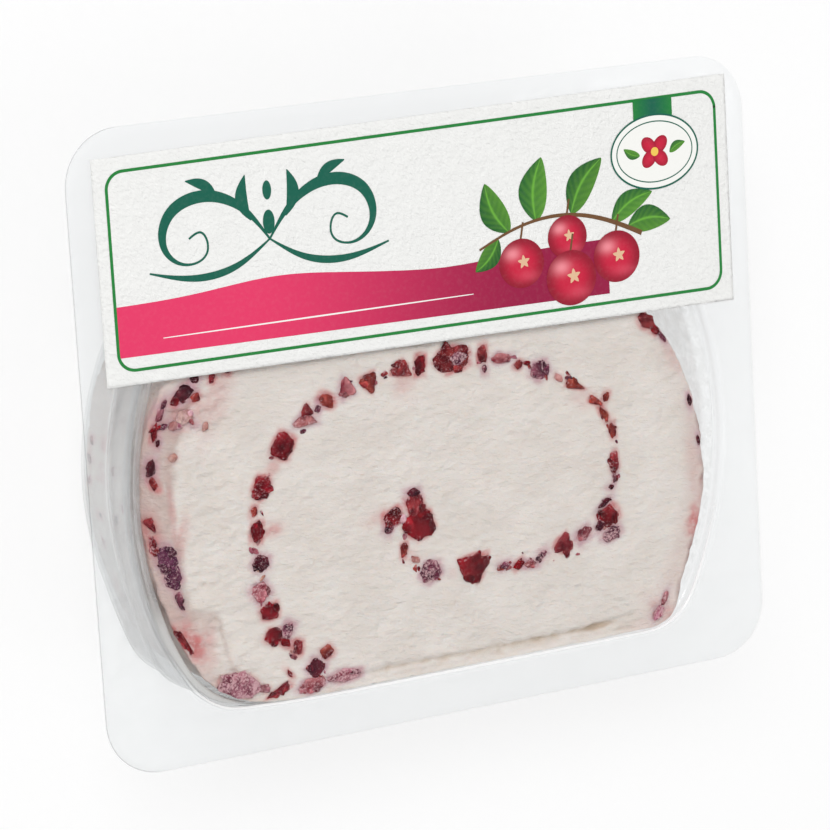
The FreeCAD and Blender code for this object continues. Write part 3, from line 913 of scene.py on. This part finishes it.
def make_spots(draw):
    """Where fruit shows on the side of the slice: x, y, z, size, strength of its stain."""
    spots = [(*on_side(math.radians(degrees), z, 0.2), size, 0.5) for degrees, z, size in WALL_BITS]
    for _ in range(SIDE_BITS):
        theta = draw.uniform(-math.pi, math.pi)
        z = SLICE_LOW + 1.2 + (SLICE_TOP - SLICE_LOW - 4.2) * draw.random()
        spots.append((*on_side(theta, z, 0.35), draw.uniform(0.9, 2.4), draw.uniform(0.2, 0.55)))
    return spots


SIDE_SPOTS = make_spots(random.Random(5))


def add_face_bits(heap, draw):
    """The bits that show on the cut face. The longer ones have smaller lobes beside the main one."""
    for x, y, long, wide, turn, tone, frost, corners in ALL_BITS:
        a = math.radians(turn)
        lobes = [(0.0, 0.0, 1.0, 1.0)]
        if long > 2.4:
            for _ in range(3 if long > 3.9 else 2):
                t = draw.uniform(0, 2 * math.pi)
                share, bright = draw.uniform(0.28, 0.48), draw.uniform(0.5, 1.6)
                lobes.append((0.66 * math.cos(t), 0.66 * math.sin(t), share, bright))
        for u, v, share, bright in lobes:
            main = share == 1
            du, dv = u * long / 2, v * wide / 2
            bx = x + du * math.cos(a) - dv * math.sin(a)
            by = y + du * math.sin(a) + dv * math.cos(a)
            size = (long * share, wide * share * (1.0 if main else 1.25), 0.6 * wide * share + 0.6)
            spin = a + (0 if main else draw.uniform(-0.8, 0.8))
            detail = 5 if size[0] > 5.5 else 4 if size[0] > 2.3 else 3
            made = chunk(draw, size, face_normal(x), spin, detail, corners if main else 0, main)
            lift = draw.uniform(0.0, 0.12) + (0.22 if frost > 0.82 else -0.04 if main else 0.0)
            heap.add(np.array([bx, by, float(level(bx)) + lift]), made, toned(draw, tone, bright), frost)


def add_crumbs(heap, draw):
    """Small crumbs along the line of the layer."""
    for _ in range(CRUMBS):
        i = int(draw.uniform(2, 256))
        x, y = LAYER_LINE[i] + np.array([draw.gauss(0, 0.7), draw.gauss(0, 0.7)])
        ahead = LAYER_LINE[i + 1] - LAYER_LINE[i]
        if y < -42.3:
            continue
        long = draw.uniform(0.5, 1.6)
        size = (long, min(0.9, long * draw.uniform(0.35, 0.8)), 0.5)
        spin = math.atan2(ahead[1], ahead[0]) + draw.gauss(0, 0.5)
        made = chunk(draw, size, (0, 0, 1), spin, 3 if long > 0.9 else 2)
        tone = toned(draw, draw.choice(CRUMB_TONES))
        heap.add(np.array([x, y, float(level(x)) - 0.05]), made, tone, draw.uniform(0, 0.6))


def add_side_bits(heap, draw):
    for x, y, z, size, _ in SIDE_SPOTS:
        out = (x - CAVITY[0], y - CAVITY[1], 0)
        long = size * draw.uniform(1.1, 1.7)
        made = chunk(draw, (long, size * 1.1, size * 0.7), out, draw.uniform(0, 6.3), 3 if size > 1.9 else 2)
        inward = -np.array(Vector(out).normalized()) * (size * 0.35 - 0.28)
        tone = toned(draw, draw.choice(SIDE_TONES))
        heap.add(np.array([x, y, z]) + inward, made, tone, draw.uniform(0.1, 0.6))


def add_base_bits(heap, draw):
    """Bits under the slice, where the layer comes through."""
    for k in range(BASE_BITS):
        x, y = LAYER_LINE[int((k + draw.random()) / BASE_BITS * (len(LAYER_LINE) - 1))]
        x, y = x + draw.gauss(0, 0.5), y + draw.gauss(0, 0.5)
        if y < -40.5:
            continue
        long = draw.uniform(1.6, 4.6)
        size = (long, long * draw.uniform(0.55, 0.9), 1.4)
        made = chunk(draw, size, (0, 0, -1), draw.uniform(0, 6.3), 2)
        tone = toned(draw, draw.choice(BASE_TONES))
        heap.add(np.array([x, y, BASE_Z + 0.08]), made, tone, draw.uniform(0.1, 0.6))


def make_fruit():
    heap, draw = Heap(), random.Random(11)
    for add_bits in (add_face_bits, add_crumbs, add_side_bits, add_base_bits):
        add_bits(heap, draw)
    looks = {"tone": np.vstack(heap.tone), "frost": np.concatenate(heap.frost)}
    return add_piece("fruit_bits", np.vstack(heap.points), np.vstack(heap.faces), fruit_material(),
                     ("fruit_layer",), attributes=looks)


# --- the clear tray and its lid ---------------------------------------------------------------
RAYS = 480
THETA = np.linspace(-math.pi, math.pi, RAYS, endpoint=False)
PLATE_LINE = plate(PACK_W / 2, PACK_H / 2, PACK_CORNER)
PLATE = reach(PLATE_LINE, THETA)
PLATE_IN = reach(plate(PACK_W / 2 - 0.15, PACK_H / 2 - 0.15, PACK_CORNER - 0.15), THETA)
LANE = 0.3
PRESSED_DISC = (-51.0, -42.5, 5.8)
LID_SAG = 0.10


def polar(radius, z):
    """A row of points, one on each ray from the cavity's centre."""
    x, y = from_centre(np.broadcast_to(radius, THETA.shape), THETA)
    return np.c_[x, y, np.broadcast_to(z, THETA.shape)]


def pressed(p):
    """Depth pressed into the flange: a bead round the opening, a disc and the peel corner."""
    x, y = p[:, 0], p[:, 1]
    disc_x, disc_y, disc_r = PRESSED_DISC
    disc = smooth((disc_r - np.hypot(x - disc_x, y - disc_y)) / 0.7)
    r, angle = to_centre(x, y)
    bead = np.exp(-((r - rim_reach(angle) - 2.2) / 0.55) ** 2)
    peel = smooth((x + 0.42 * (y + 43) - 51.5) / 1.2) * smooth((-18 - y) / 3)
    return 0.13 * np.maximum(disc, peel) + 0.11 * bead


def milky(y):
    """The sealed border is a little milkier towards the foot of the pack, and clear at its head."""
    return (0.6 - 0.33 * y / (0.5 * PACK_H)) * (1 - smooth((y - 40) / 6))


def bend(*steps):
    """1 - sine and 1 - cosine at steps of a quarter turn, for a rounded edge."""
    return [(1 - math.sin(t * math.pi / 2), 1 - math.cos(t * math.pi / 2)) for t in steps]


def shell_rows(grow, flange_z, upper):
    """Rows of rays from the flange's edge to the middle of the floor, on one face of the sheet."""
    rise, drop = (SHEET, 0) if upper else (0, SHEET)
    inward = -1 if upper else 1
    rim = rim_reach(THETA, grow)
    rows = [polar(PLATE, flange_z + 0.25 * inward), polar(PLATE_IN, flange_z + 0.12 * inward)]
    for t in np.linspace(1, 0, 26)[1:-1]:
        ring = polar(rim + 0.4 + (PLATE_IN - rim - 0.4) * t, flange_z)
        if not upper:
            ring[:, 2] += pressed(ring)
        rows.append(ring)
    # the rim, the ledge and its rounded edges
    ledge = LEDGE_Z - drop
    rows += [polar(rim + 0.4 * out, flange_z - 0.4 * down) for out, down in bend(0.0, 0.33, 0.66, 1.0)]
    rows += [polar(rim, ledge + (flange_z - ledge) * t) for t in (0.6, 0.35)]
    inner = wall_reach(WALL_TOP, THETA, grow, 0.0)
    room = np.clip((rim - inner) / 0.8, 0, 1)
    rows += [polar(rim - 0.35 * out * room, ledge + 0.35 * up) for up, out in bend(0.0, 0.5, 1.0)]
    rows += [polar(rim - 0.35 + (inner - rim + 0.65) * t, ledge) for t in (0.25, 0.5, 0.75)]
    rows += [polar(inner + 0.3 * out, ledge - 0.3 * down) for out, down in bend(0.0, 0.5, 1.0)]
    # the wall above the step, the step, the wall below it and the foot
    arc = THETA * 50
    step = STEP_Z + rise
    foot = FLOOR_ROUND + drop
    for z in np.linspace(ledge - 0.6, step + 0.35, 16):
        ring = wall_reach(wall_ring(z + drop), THETA, grow, float(smooth((ledge - z) / 13)))
        wave = 0.04 * noise(arc / 9, z / 14, seed=41) + 0.008 * noise(arc / 2.2, z / 9, seed=42)
        rows.append(polar(ring + wave, z))
    for z, out in ((step + 0.1, 0.05), (step - 0.05, 0.2)):
        rows.append(polar(wall_reach(WALL_BELOW, THETA, grow + 0.28 - out), z))
    for z in np.linspace(step - 0.3, rise + foot, 10):
        ring = wall_reach(wall_ring(z + drop), THETA, grow)
        rows.append(polar(ring + 0.05 * noise(arc / 9, z / 14, seed=41), z))
    floor = wall_reach(WALL_FOOT, THETA, grow)
    rows += [polar(floor - foot * out, rise + foot * up) for up, out in bend(0.2, 0.4, 0.6, 0.8, 1.0)]
    rows += [polar((floor - foot) * t, rise) for t in (0.9, 0.75, 0.55, 0.35, 0.15)]
    return rows


def closed_shell(rows):
    """Points and outward faces of rows of rays, from the middle of the top round to that of the underside."""
    ray = np.arange(RAYS)
    after = (ray + 1) % RAYS
    low = (len(rows) - 1) * RAYS
    centre = np.full(RAYS, len(rows) * RAYS)
    ends = [[*CAVITY, rows[0][:, 2].mean()], [*CAVITY, rows[-1][:, 2].mean()]]
    faces = quads(len(rows), RAYS, True)[:, ::-1].tolist() + np.c_[ray, after, centre].tolist() \
        + np.c_[low + after, low + ray, centre + 1].tolist()
    return np.vstack(rows + [ends]), faces


def toward(angle, degrees, start, ramp):
    """1 in directions near the given one and 0 away from it, with start and ramp as cosines."""
    return smooth((np.cos(angle - math.radians(degrees)) - start) / ramp)


def tray_looks(points):
    """What the tray's mesh carries for its material."""
    x, y, z = points.T
    r, angle = to_centre(x, y)
    rim = rim_reach(angle)
    # painted shade: a dark line along the flange's far left edge, and grey on the lower left walls and ledge,
    # stronger at the near left corner
    outer_edge = (r > reach(PLATE_LINE, angle) - 0.05) * smooth((-50 - x) / 4)
    painted_shade_grey = toward(angle, 228, 0.45, 0.5) * (z < LID_BOTTOM - 0.8) * (1 + 0.6 * corner(angle))
    inside = smooth((rim - r - 0.1) / 0.5) * smooth((7.5 - rim + r) / 1.5)
    return {
        "sealed": smooth((r - rim - 0.2) / 0.8) * (z > LEDGE_Z) * milky(y),
        "painted_shade_grey": np.maximum(painted_shade_grey, 3.0 * outer_edge),
        # painted shade: the directions in which the ledge and its bend lines are greyed, left and lower left
        "ledge": np.maximum(toward(angle, 173, 0.45, 0.45), 0.15 * toward(angle, 215, 0.5, 0.4)),
        # painted highlight: white along the rim at the foot of the pack
        "glint": toward(angle, -84, 0.30, 0.25) * (z > LEDGE_Z + 0.2),
        # painted light: a pale grey veil over the shadowed gap inside the rim at the near left corner
        "painted_light_veil": toward(angle, -143, 0.92, 0.06) * inside * (z > LEDGE_Z - 0.9),
        "film": toward(angle, 5, 0.72, 0.2) * (z > STEP_Z) * (r < rim - 0.3),
        "crack": toward(angle, 6, 0.955, 0.03),
        # painted highlight: white along the step of the left wall
        "step": 0.8 * (np.abs(z - STEP_Z - 0.2) < 0.3) * toward(angle, 180, 0.6, 0.3),
        "lane": (r - rim) / LANE,
        "along": 60 * angle / 14,
    }


def make_tray():
    top = shell_rows(0.0, LID_BOTTOM - 0.012, True)
    under = shell_rows(SHEET, LID_BOTTOM - FLANGE_T, False)
    points, faces = closed_shell(top[::-1] + under)
    material = pane_material("tray_plastic", (0.985, 0.99, 0.992, 1), srgb(247, 249, 250), haze=0.05,
                             milk=0.10, shine=0.8, rough=0.08, ripple=0.2, marks_and_light=tray_marks_and_light)
    return add_piece("tray_shell", points, faces, material, ("tray",),
                     attributes=tray_looks(points))


def make_lid():
    rim = rim_reach(THETA)
    radii = [rim * t for t in (*np.linspace(0, 0.96, 14)[1:], 1.0)]
    radii += [rim + (PLATE_IN - rim) * t for t in np.linspace(0, 1, 22)[1:]]
    rows = [polar(r, 0.0) for r in radii]
    for row, r in zip(rows, radii):
        sag = LID_SAG * smooth((1 - r / rim) / 0.35)
        row[:, 2] = -sag + 0.02 * noise(row[:, 0] / 14, row[:, 1] / 9, seed=51)
    top = [row + np.array([0, 0, LID_TOP - 0.03]) for row in rows]
    under = [row + np.array([0, 0, LID_BOTTOM + 0.025]) for row in rows]
    edge = polar(PLATE, 0.5 * (LID_TOP + LID_BOTTOM))
    points, faces = closed_shell(top + [edge] + under[::-1])
    r, angle = to_centre(points[:, 0], points[:, 1])
    sealed = smooth((r - rim_reach(angle) - 0.3) / 1.2) * milky(points[:, 1])
    material = pane_material("lid_film", (0.995, 0.995, 0.995, 1), srgb(249, 250, 250), haze=0.001, milk=0.11,
                             shine=0.07, rough=0.1)
    return add_piece("lid_film", points, faces, material, ("lid",), attributes={"sealed": sealed})


# --- the paper label and its print -----------------------------------------------------------
PAPER_TOP = LABEL_HIGH.z - 0.05
INK_Z = PAPER_TOP + 0.03
INK_STEP = 0.0012


def tint(r, g, b):
    return srgb(r, g, b)[:3]


GREEN, DEEP_GREEN = tint(30, 125, 55), tint(12, 92, 74)
PINK, WINE, WHITE = tint(228, 57, 103), tint(147, 18, 64), tint(244, 244, 240)
RED, LEAF, LEAF_DARK = tint(200, 28, 62), tint(96, 156, 52), tint(28, 92, 40)
BARK, SEED, GOLD = tint(108, 74, 44), tint(226, 186, 150), tint(240, 200, 90)
BERRY_GLOW, BERRY_LOW = tint(246, 150, 160), tint(226, 84, 106)


def splay(points):
    """The label's right end is a little taller than its left."""
    x, y = points[:, 0], points[:, 1]
    middle = 0.5 * (LABEL_LOW.y + LABEL_HIGH.y)
    points[:, 1] = middle + (y - middle) * (1 + 0.032 * x / 55)
    return points


def make_paper():
    rows, columns = 74, 226
    x, y = np.meshgrid(np.linspace(LABEL_LOW.x, LABEL_HIGH.x, columns),
                       np.linspace(LABEL_LOW.y, LABEL_HIGH.y, rows))
    x, y = x.ravel(), y.ravel()
    felt_height = 0.012 * noise(x / 1.3, y / 0.9, seed=61) + 0.01 * noise(x / 0.7, y / 0.6, seed=62)
    top = np.c_[x, y, PAPER_TOP + felt_height]
    under = np.c_[x, y, np.full(x.size, LABEL_LOW.z + 0.01)]
    faces = quads(rows, columns, False)
    edge = border(rows, columns)
    after = np.roll(edge, -1)
    side = np.c_[edge + len(top), after + len(top), after, edge]
    faces = np.vstack([faces, faces[:, ::-1] + len(top), side])
    return add_piece("label_sheet", splay(np.vstack([top, under])), faces, paper_material(),
                     ("label",))


class Print:
    """Flat inks, each a thin grid of points just above the paper."""

    def __init__(self):
        self.points, self.faces, self.ink, self.count, self.layer = [], [], [], 0, 0

    def grid(self, x, y, ink, wrap=False):
        """x, y and ink by rows and columns. A later grid lies on the ones before it."""
        x, y = np.asarray(x, float), np.asarray(y, float)
        rows, columns = x.shape
        z = np.full(x.size, INK_Z + INK_STEP * self.layer)
        self.layer += 1
        self.points.append(np.c_[x.ravel(), y.ravel(), z])
        self.faces.append(quads(rows, columns, wrap) + self.count)
        self.ink.append(np.broadcast_to(ink, (rows, columns, 3)).reshape(-1, 3))
        self.count += x.size

    def stroke(self, line, width, ink):
        """A stroke along a line of points; width is one number, or one for each point."""
        line = np.asarray(line, float)
        t = np.gradient(line, axis=0)
        n = np.c_[-t[:, 1], t[:, 0]] / np.maximum(np.linalg.norm(t, axis=1), 1e-9)[:, None]
        w = np.broadcast_to(width, len(line))[:, None] / 2
        a, b = line + n * w, line - n * w
        self.grid(np.stack([b[:, 0], a[:, 0]]), np.stack([b[:, 1], a[:, 1]]), ink)

    def disc(self, cx, cy, rx, ry, ink_of, turn=0.0, rings=14, spokes=72):
        """An oval, whose ink is one colour or a function of its own coordinates, -1 to 1."""
        r = np.linspace(0.001, 1, rings)[:, None]
        a = np.linspace(0, 2 * math.pi, spokes, endpoint=False)[None, :]
        u, v = r * np.cos(a), r * np.sin(a)
        c, s = math.cos(turn), math.sin(turn)
        x, y = cx + rx * u * c - ry * v * s, cy + rx * u * s + ry * v * c
        self.grid(x, y, ink_of(u, v) if callable(ink_of) else ink_of, wrap=True)


def blend(a, b, t):
    t = np.asarray(t, float)[..., None]
    return np.asarray(a) * (1 - t) + np.asarray(b) * t


def leaf(ink, base, tip, width, light=1.0):
    """A leaf from base to tip, with a pale midrib and side veins."""
    base, tip = np.array(base, float), np.array(tip, float)
    along = tip - base
    across = np.array([-along[1], along[0]]) / np.linalg.norm(along)
    t = np.linspace(0, 1, 40)[None, :]
    s = np.linspace(-1, 1, 15)[:, None]
    half = width / 2 * np.sin(math.pi * t ** 0.85) ** 0.8
    bow = 0.10 * np.linalg.norm(along) * np.sin(math.pi * t)
    x = base[0] + along[0] * t + across[0] * (half * s + bow)
    y = base[1] + along[1] * t + across[1] * (half * s + bow)
    vein = 0.5 + 0.5 * np.cos(2 * math.pi * (t * 7 - np.abs(s) * 1.6))
    shade = np.clip(0.55 + 0.45 * s, 0, 1) * 0.8 + 0.25 * vein
    colour = blend(np.array(LEAF) * light, np.array(LEAF_DARK) * light, np.clip(shade, 0, 1))
    rib = np.exp(-(s / 0.09) ** 2) * (t < 0.95)
    ink.grid(x, y, blend(colour, np.array(LEAF) * 1.5, np.clip(rib, 0, 1) * 0.8))


def berry_ink(u, v):
    """Red, darker towards its edge, with a soft light at the upper left and a glow low down."""
    edge = np.clip(np.hypot(u, v), 0, 1)
    body = blend(np.array(RED), np.array(RED) * 0.42, smooth((edge - 0.35) / 0.65) * 0.9)
    glow = np.exp(-(((u + 0.38) / 0.34) ** 2 + ((v - 0.42) / 0.26) ** 2))
    low = np.exp(-(((u - 0.3) / 0.5) ** 2 + ((v + 0.55) / 0.22) ** 2))
    body = blend(body, BERRY_GLOW, np.clip(0.85 * glow, 0, 1))
    return blend(body, BERRY_LOW, np.clip(0.5 * low, 0, 1))


def berry(ink, x, y, r):
    """A round red fruit with a pale crown."""
    ink.disc(x, y, r, r * 0.96, berry_ink)
    crown = np.array([x + 0.10 * r, y + 0.05 * r])
    width = np.array([0.05, 0.09, 0.12, 0.14, 0.12, 0.1, 0.06, 0.02]) * r * 1.1
    for k in range(5):
        a = 2 * math.pi * k / 5 + 0.4
        ray = [crown + t * r * np.array([math.cos(a), math.sin(a)]) for t in (0, 0.13, 0.27)]
        ink.stroke(spline(ray, 8), width, SEED)


def petal_ink(u, v):
    return blend(RED, np.array(RED) * 0.6, np.clip(np.hypot(u, v), 0, 1) ** 2)


def print_band(ink):
    """A band of colour with a soft swell along its upper edge, and a white line on it."""
    x = np.linspace(-53.6, 33.0, 180)
    swell = 1.5 * np.exp(-((x + 26) / 13) ** 2) - 0.9 * np.exp(-((x - 4) / 12) ** 2)
    high, low = 23.0 + swell, 14.9 - 0.008 * (x + 53)
    share = np.linspace(0, 1, 6)[:, None]
    ink.grid(np.tile(x, (6, 1)), low + (high - low) * share, blend(PINK, WINE, smooth((x + 34) / 56))[None])
    fade = np.clip(1 - np.abs(np.linspace(-1, 1, 60)), 0, 1) ** 0.5
    ink.stroke(np.c_[np.linspace(-46, 8, 60), np.full(60, 17.2)], 0.12 + 0.14 * fade, WHITE)


def print_border(ink):
    middle = 0.5 * np.array([LABEL_LOW.x + LABEL_HIGH.x, LABEL_LOW.y + LABEL_HIGH.y])
    line = plate(53.95, 15.75, 2.8, 14) + middle
    line = np.vstack([line, line[:2]])
    ink.stroke(np.vstack([a + (b - a) * np.linspace(0, 1, 5, endpoint=False)[:, None]
                          for a, b in zip(line, line[1:])]), 0.5, GREEN)


def print_scrolls(ink):
    """Two mirrored scrolls with small leaves, and two ovals between them."""
    middle = -27.0
    scroll = spline([(-27.0, 30.5), (-31.5, 36.0), (-38.0, 38.6), (-43.8, 36.2), (-44.8, 31.2), (-41.2, 28.2),
                     (-37.6, 30.0), (-38.6, 33.0), (-40.6, 32.2)], 120)
    tail = spline([(-27.0, 30.5), (-33.0, 26.9), (-40.0, 25.9), (-47.5, 27.6)], 80)
    leaves = (spline([(-30.0, 33.8), (-31.4, 37.2), (-30.6, 41.0)], 30),
              spline([(-35.5, 38.3), (-37.4, 40.2), (-40.6, 41.3)], 30))
    heavy = 0.35 + 1.6 * np.sin(math.pi * np.clip(np.linspace(0, 1, 120) * 1.25, 0, 1)) ** 1.5
    light = 0.3 + 0.9 * np.sin(math.pi * np.linspace(0, 1, 80)) ** 1.4
    swell = np.sin(math.pi * np.linspace(0, 1, 30))
    for sign in (1, -1):
        for line, width in ((scroll, heavy), (tail, light), (leaves[0], 0.15 + 1.9 * swell),
                            (leaves[1], 0.15 + 1.5 * swell)):
            ink.stroke(np.c_[middle + sign * (line[:, 0] - middle), line[:, 1]], width, DEEP_GREEN)
    ink.disc(middle, 33.2, 1.0, 1.9, DEEP_GREEN)
    ink.disc(middle, 38.2, 0.75, 1.5, DEEP_GREEN)


def print_sprig(ink):
    """A twig with leaves and four berries."""
    twig = spline([(9.5, 24.0), (16.0, 26.6), (24.0, 27.8), (32.0, 26.4), (39.5, 23.2)], 80)
    for base, tip, width, light in (
            ((15.0, 26.2), (11.0, 34.4), 4.6, 0.9), ((20.0, 27.4), (21.5, 37.4), 5.2, 1.0),
            ((26.5, 27.8), (32.6, 36.0), 4.8, 0.85), ((13.0, 25.4), (8.6, 20.6), 3.4, 0.8),
            ((37.0, 24.6), (45.0, 24.8), 4.2, 0.9), ((34.0, 25.6), (41.8, 29.6), 3.8, 1.0)):
        leaf(ink, base, tip, width, light)
    ink.stroke(twig, np.linspace(0.35, 0.8, 80), BARK)
    for x, y, r in ((17.0, 21.0, 4.1), (34.6, 20.0, 4.3), (25.6, 24.2, 3.6), (26.0, 17.6, 4.6)):
        ink.stroke(spline([(x + 0.6, y + r + 2.4), (x, y + r - 0.5)], 12), 0.35, BARK)
        berry(ink, x, y, r)


def print_badge(ink):
    """A plain oval badge with a four-part blossom, and a short tab above it."""
    x, y = 42.6, 35.8
    tab = np.linspace(38.9, 46.2, 12)
    ink.grid(np.tile(tab, (2, 1)), np.array([[40.2] * 12, [44.2] * 12]),
             blend(DEEP_GREEN, GREEN, np.abs(np.linspace(-1, 1, 12)))[None])
    for rx, ry, colour in (
            (8.3, 6.0, DEEP_GREEN), (8.0, 5.7, WHITE), (7.2, 4.9, DEEP_GREEN), (7.0, 4.7, WHITE)):
        ink.disc(x, y, rx, ry, colour, rings=6, spokes=120)
    for k in range(4):
        a = math.pi / 2 * k + math.pi / 4
        ink.disc(x + 1.5 * math.cos(a), y + 1.5 * math.sin(a), 1.6, 1.15, petal_ink, turn=a)
    for side in (-1, 1):
        leaf(ink, (x + side * 2.8, y - 0.4), (x + side * 5.8, y + 1.0), 1.5)
    ink.disc(x, y, 0.7, 0.7, GOLD)


def make_print():
    ink = Print()
    for part in (print_band, print_border, print_scrolls, print_sprig, print_badge):
        part(ink)
    return add_piece("label_print", splay(np.vstack(ink.points)), np.vstack(ink.faces), print_material(),
                     attributes={"ink": np.vstack(ink.ink)})


# --- camera, light and floor -------------------------------------------------------------------
TARGET = Vector((-0.0036, -0.0008, LID_TOP * MM))


def link(item):
    bpy.context.scene.collection.objects.link(item)
    return item


def add_camera():
    azimuth, elevation, distance = math.radians(-114.187), math.radians(60.527), 0.6140
    lean = math.radians(3.76)
    out = Vector((math.cos(elevation) * math.sin(azimuth), -math.cos(elevation) * math.cos(azimuth),
                  math.sin(elevation)))
    up = Vector((math.sin(lean), math.cos(lean), 0))
    up = (up - out * up.dot(out)).normalized()
    camera = link(bpy.data.objects.new("camera", bpy.data.cameras.new("camera")))
    camera.data.lens = 168.185
    camera.data.sensor_width = 36
    camera.data.clip_start = 0.01
    turn = Matrix((up.cross(out), up, out)).transposed().to_4x4()
    camera.matrix_world = Matrix.Translation(TARGET + out * distance) @ turn
    bpy.context.scene.camera = camera


def add_lamp(name, at, size, power):
    """A round soft light, in metres, that shines at the pack."""
    light = bpy.data.lights.new(name, "AREA")
    light.shape = "DISK"
    light.size = size
    light.energy = power
    lamp = link(bpy.data.objects.new(name, light))
    lamp.location = at
    lamp.rotation_mode = "QUATERNION"
    lamp.rotation_quaternion = (Vector(at) - TARGET).to_track_quat("Z", "Y")


def add_world():
    """A white backdrop for the eye, and a dimmer even light on the object."""
    s = Shade("studio", bpy.data.worlds)
    ambient = s.node("Background", {"Color": (1, 1, 1, 1), "Strength": 0.55})
    backdrop = s.node("Background", {"Color": (1, 1, 1, 1), "Strength": 1.0})
    mixed = s.node("MixShader", {0: s.seen(), 1: ambient.outputs[0], 2: backdrop.outputs[0]})
    bpy.context.scene.world = s.finish(mixed, "OutputWorld")


def add_floor():
    """Pale paper that keeps the pack's shadow."""
    s = Shade("floor_paper")
    colour = s.mix(s.noise((2, 2, 2), 3), (0.96, 0.96, 0.96, 1), (0.98, 0.98, 0.98, 1))
    lit = s.node("BsdfDiffuse", {"Color": colour})
    white = s.node("Emission", {"Color": (1, 1, 1, 1), "Strength": 1.0})
    share = s.math("MULTIPLY", s.seen(), 0.72)
    shader = s.node("MixShader", {0: share, 1: lit.outputs[0], 2: white.outputs[0]})
    size = 3.0
    mesh = bpy.data.meshes.new("floor")
    places = [(-size, -size, 0), (size, -size, 0), (size, size, 0), (-size, size, 0)]
    mesh.from_pydata(places, [], [(0, 1, 2, 3)])
    mesh.materials.append(s.finish(shader))
    floor = link(bpy.data.objects.new("floor", mesh))
    floor.location.z = -0.0002


bpy.context.scene.view_settings.view_transform = "Standard"
add_camera()
add_lamp("key", (-0.55, 0.65, 0.95), 0.55, 8.5)
add_lamp("fill", (0.7, -0.5, 0.9), 0.9, 2.2)
add_world()
add_floor()
make_cheese()
make_fruit()
make_tray()
make_lid()
make_paper()
make_print()
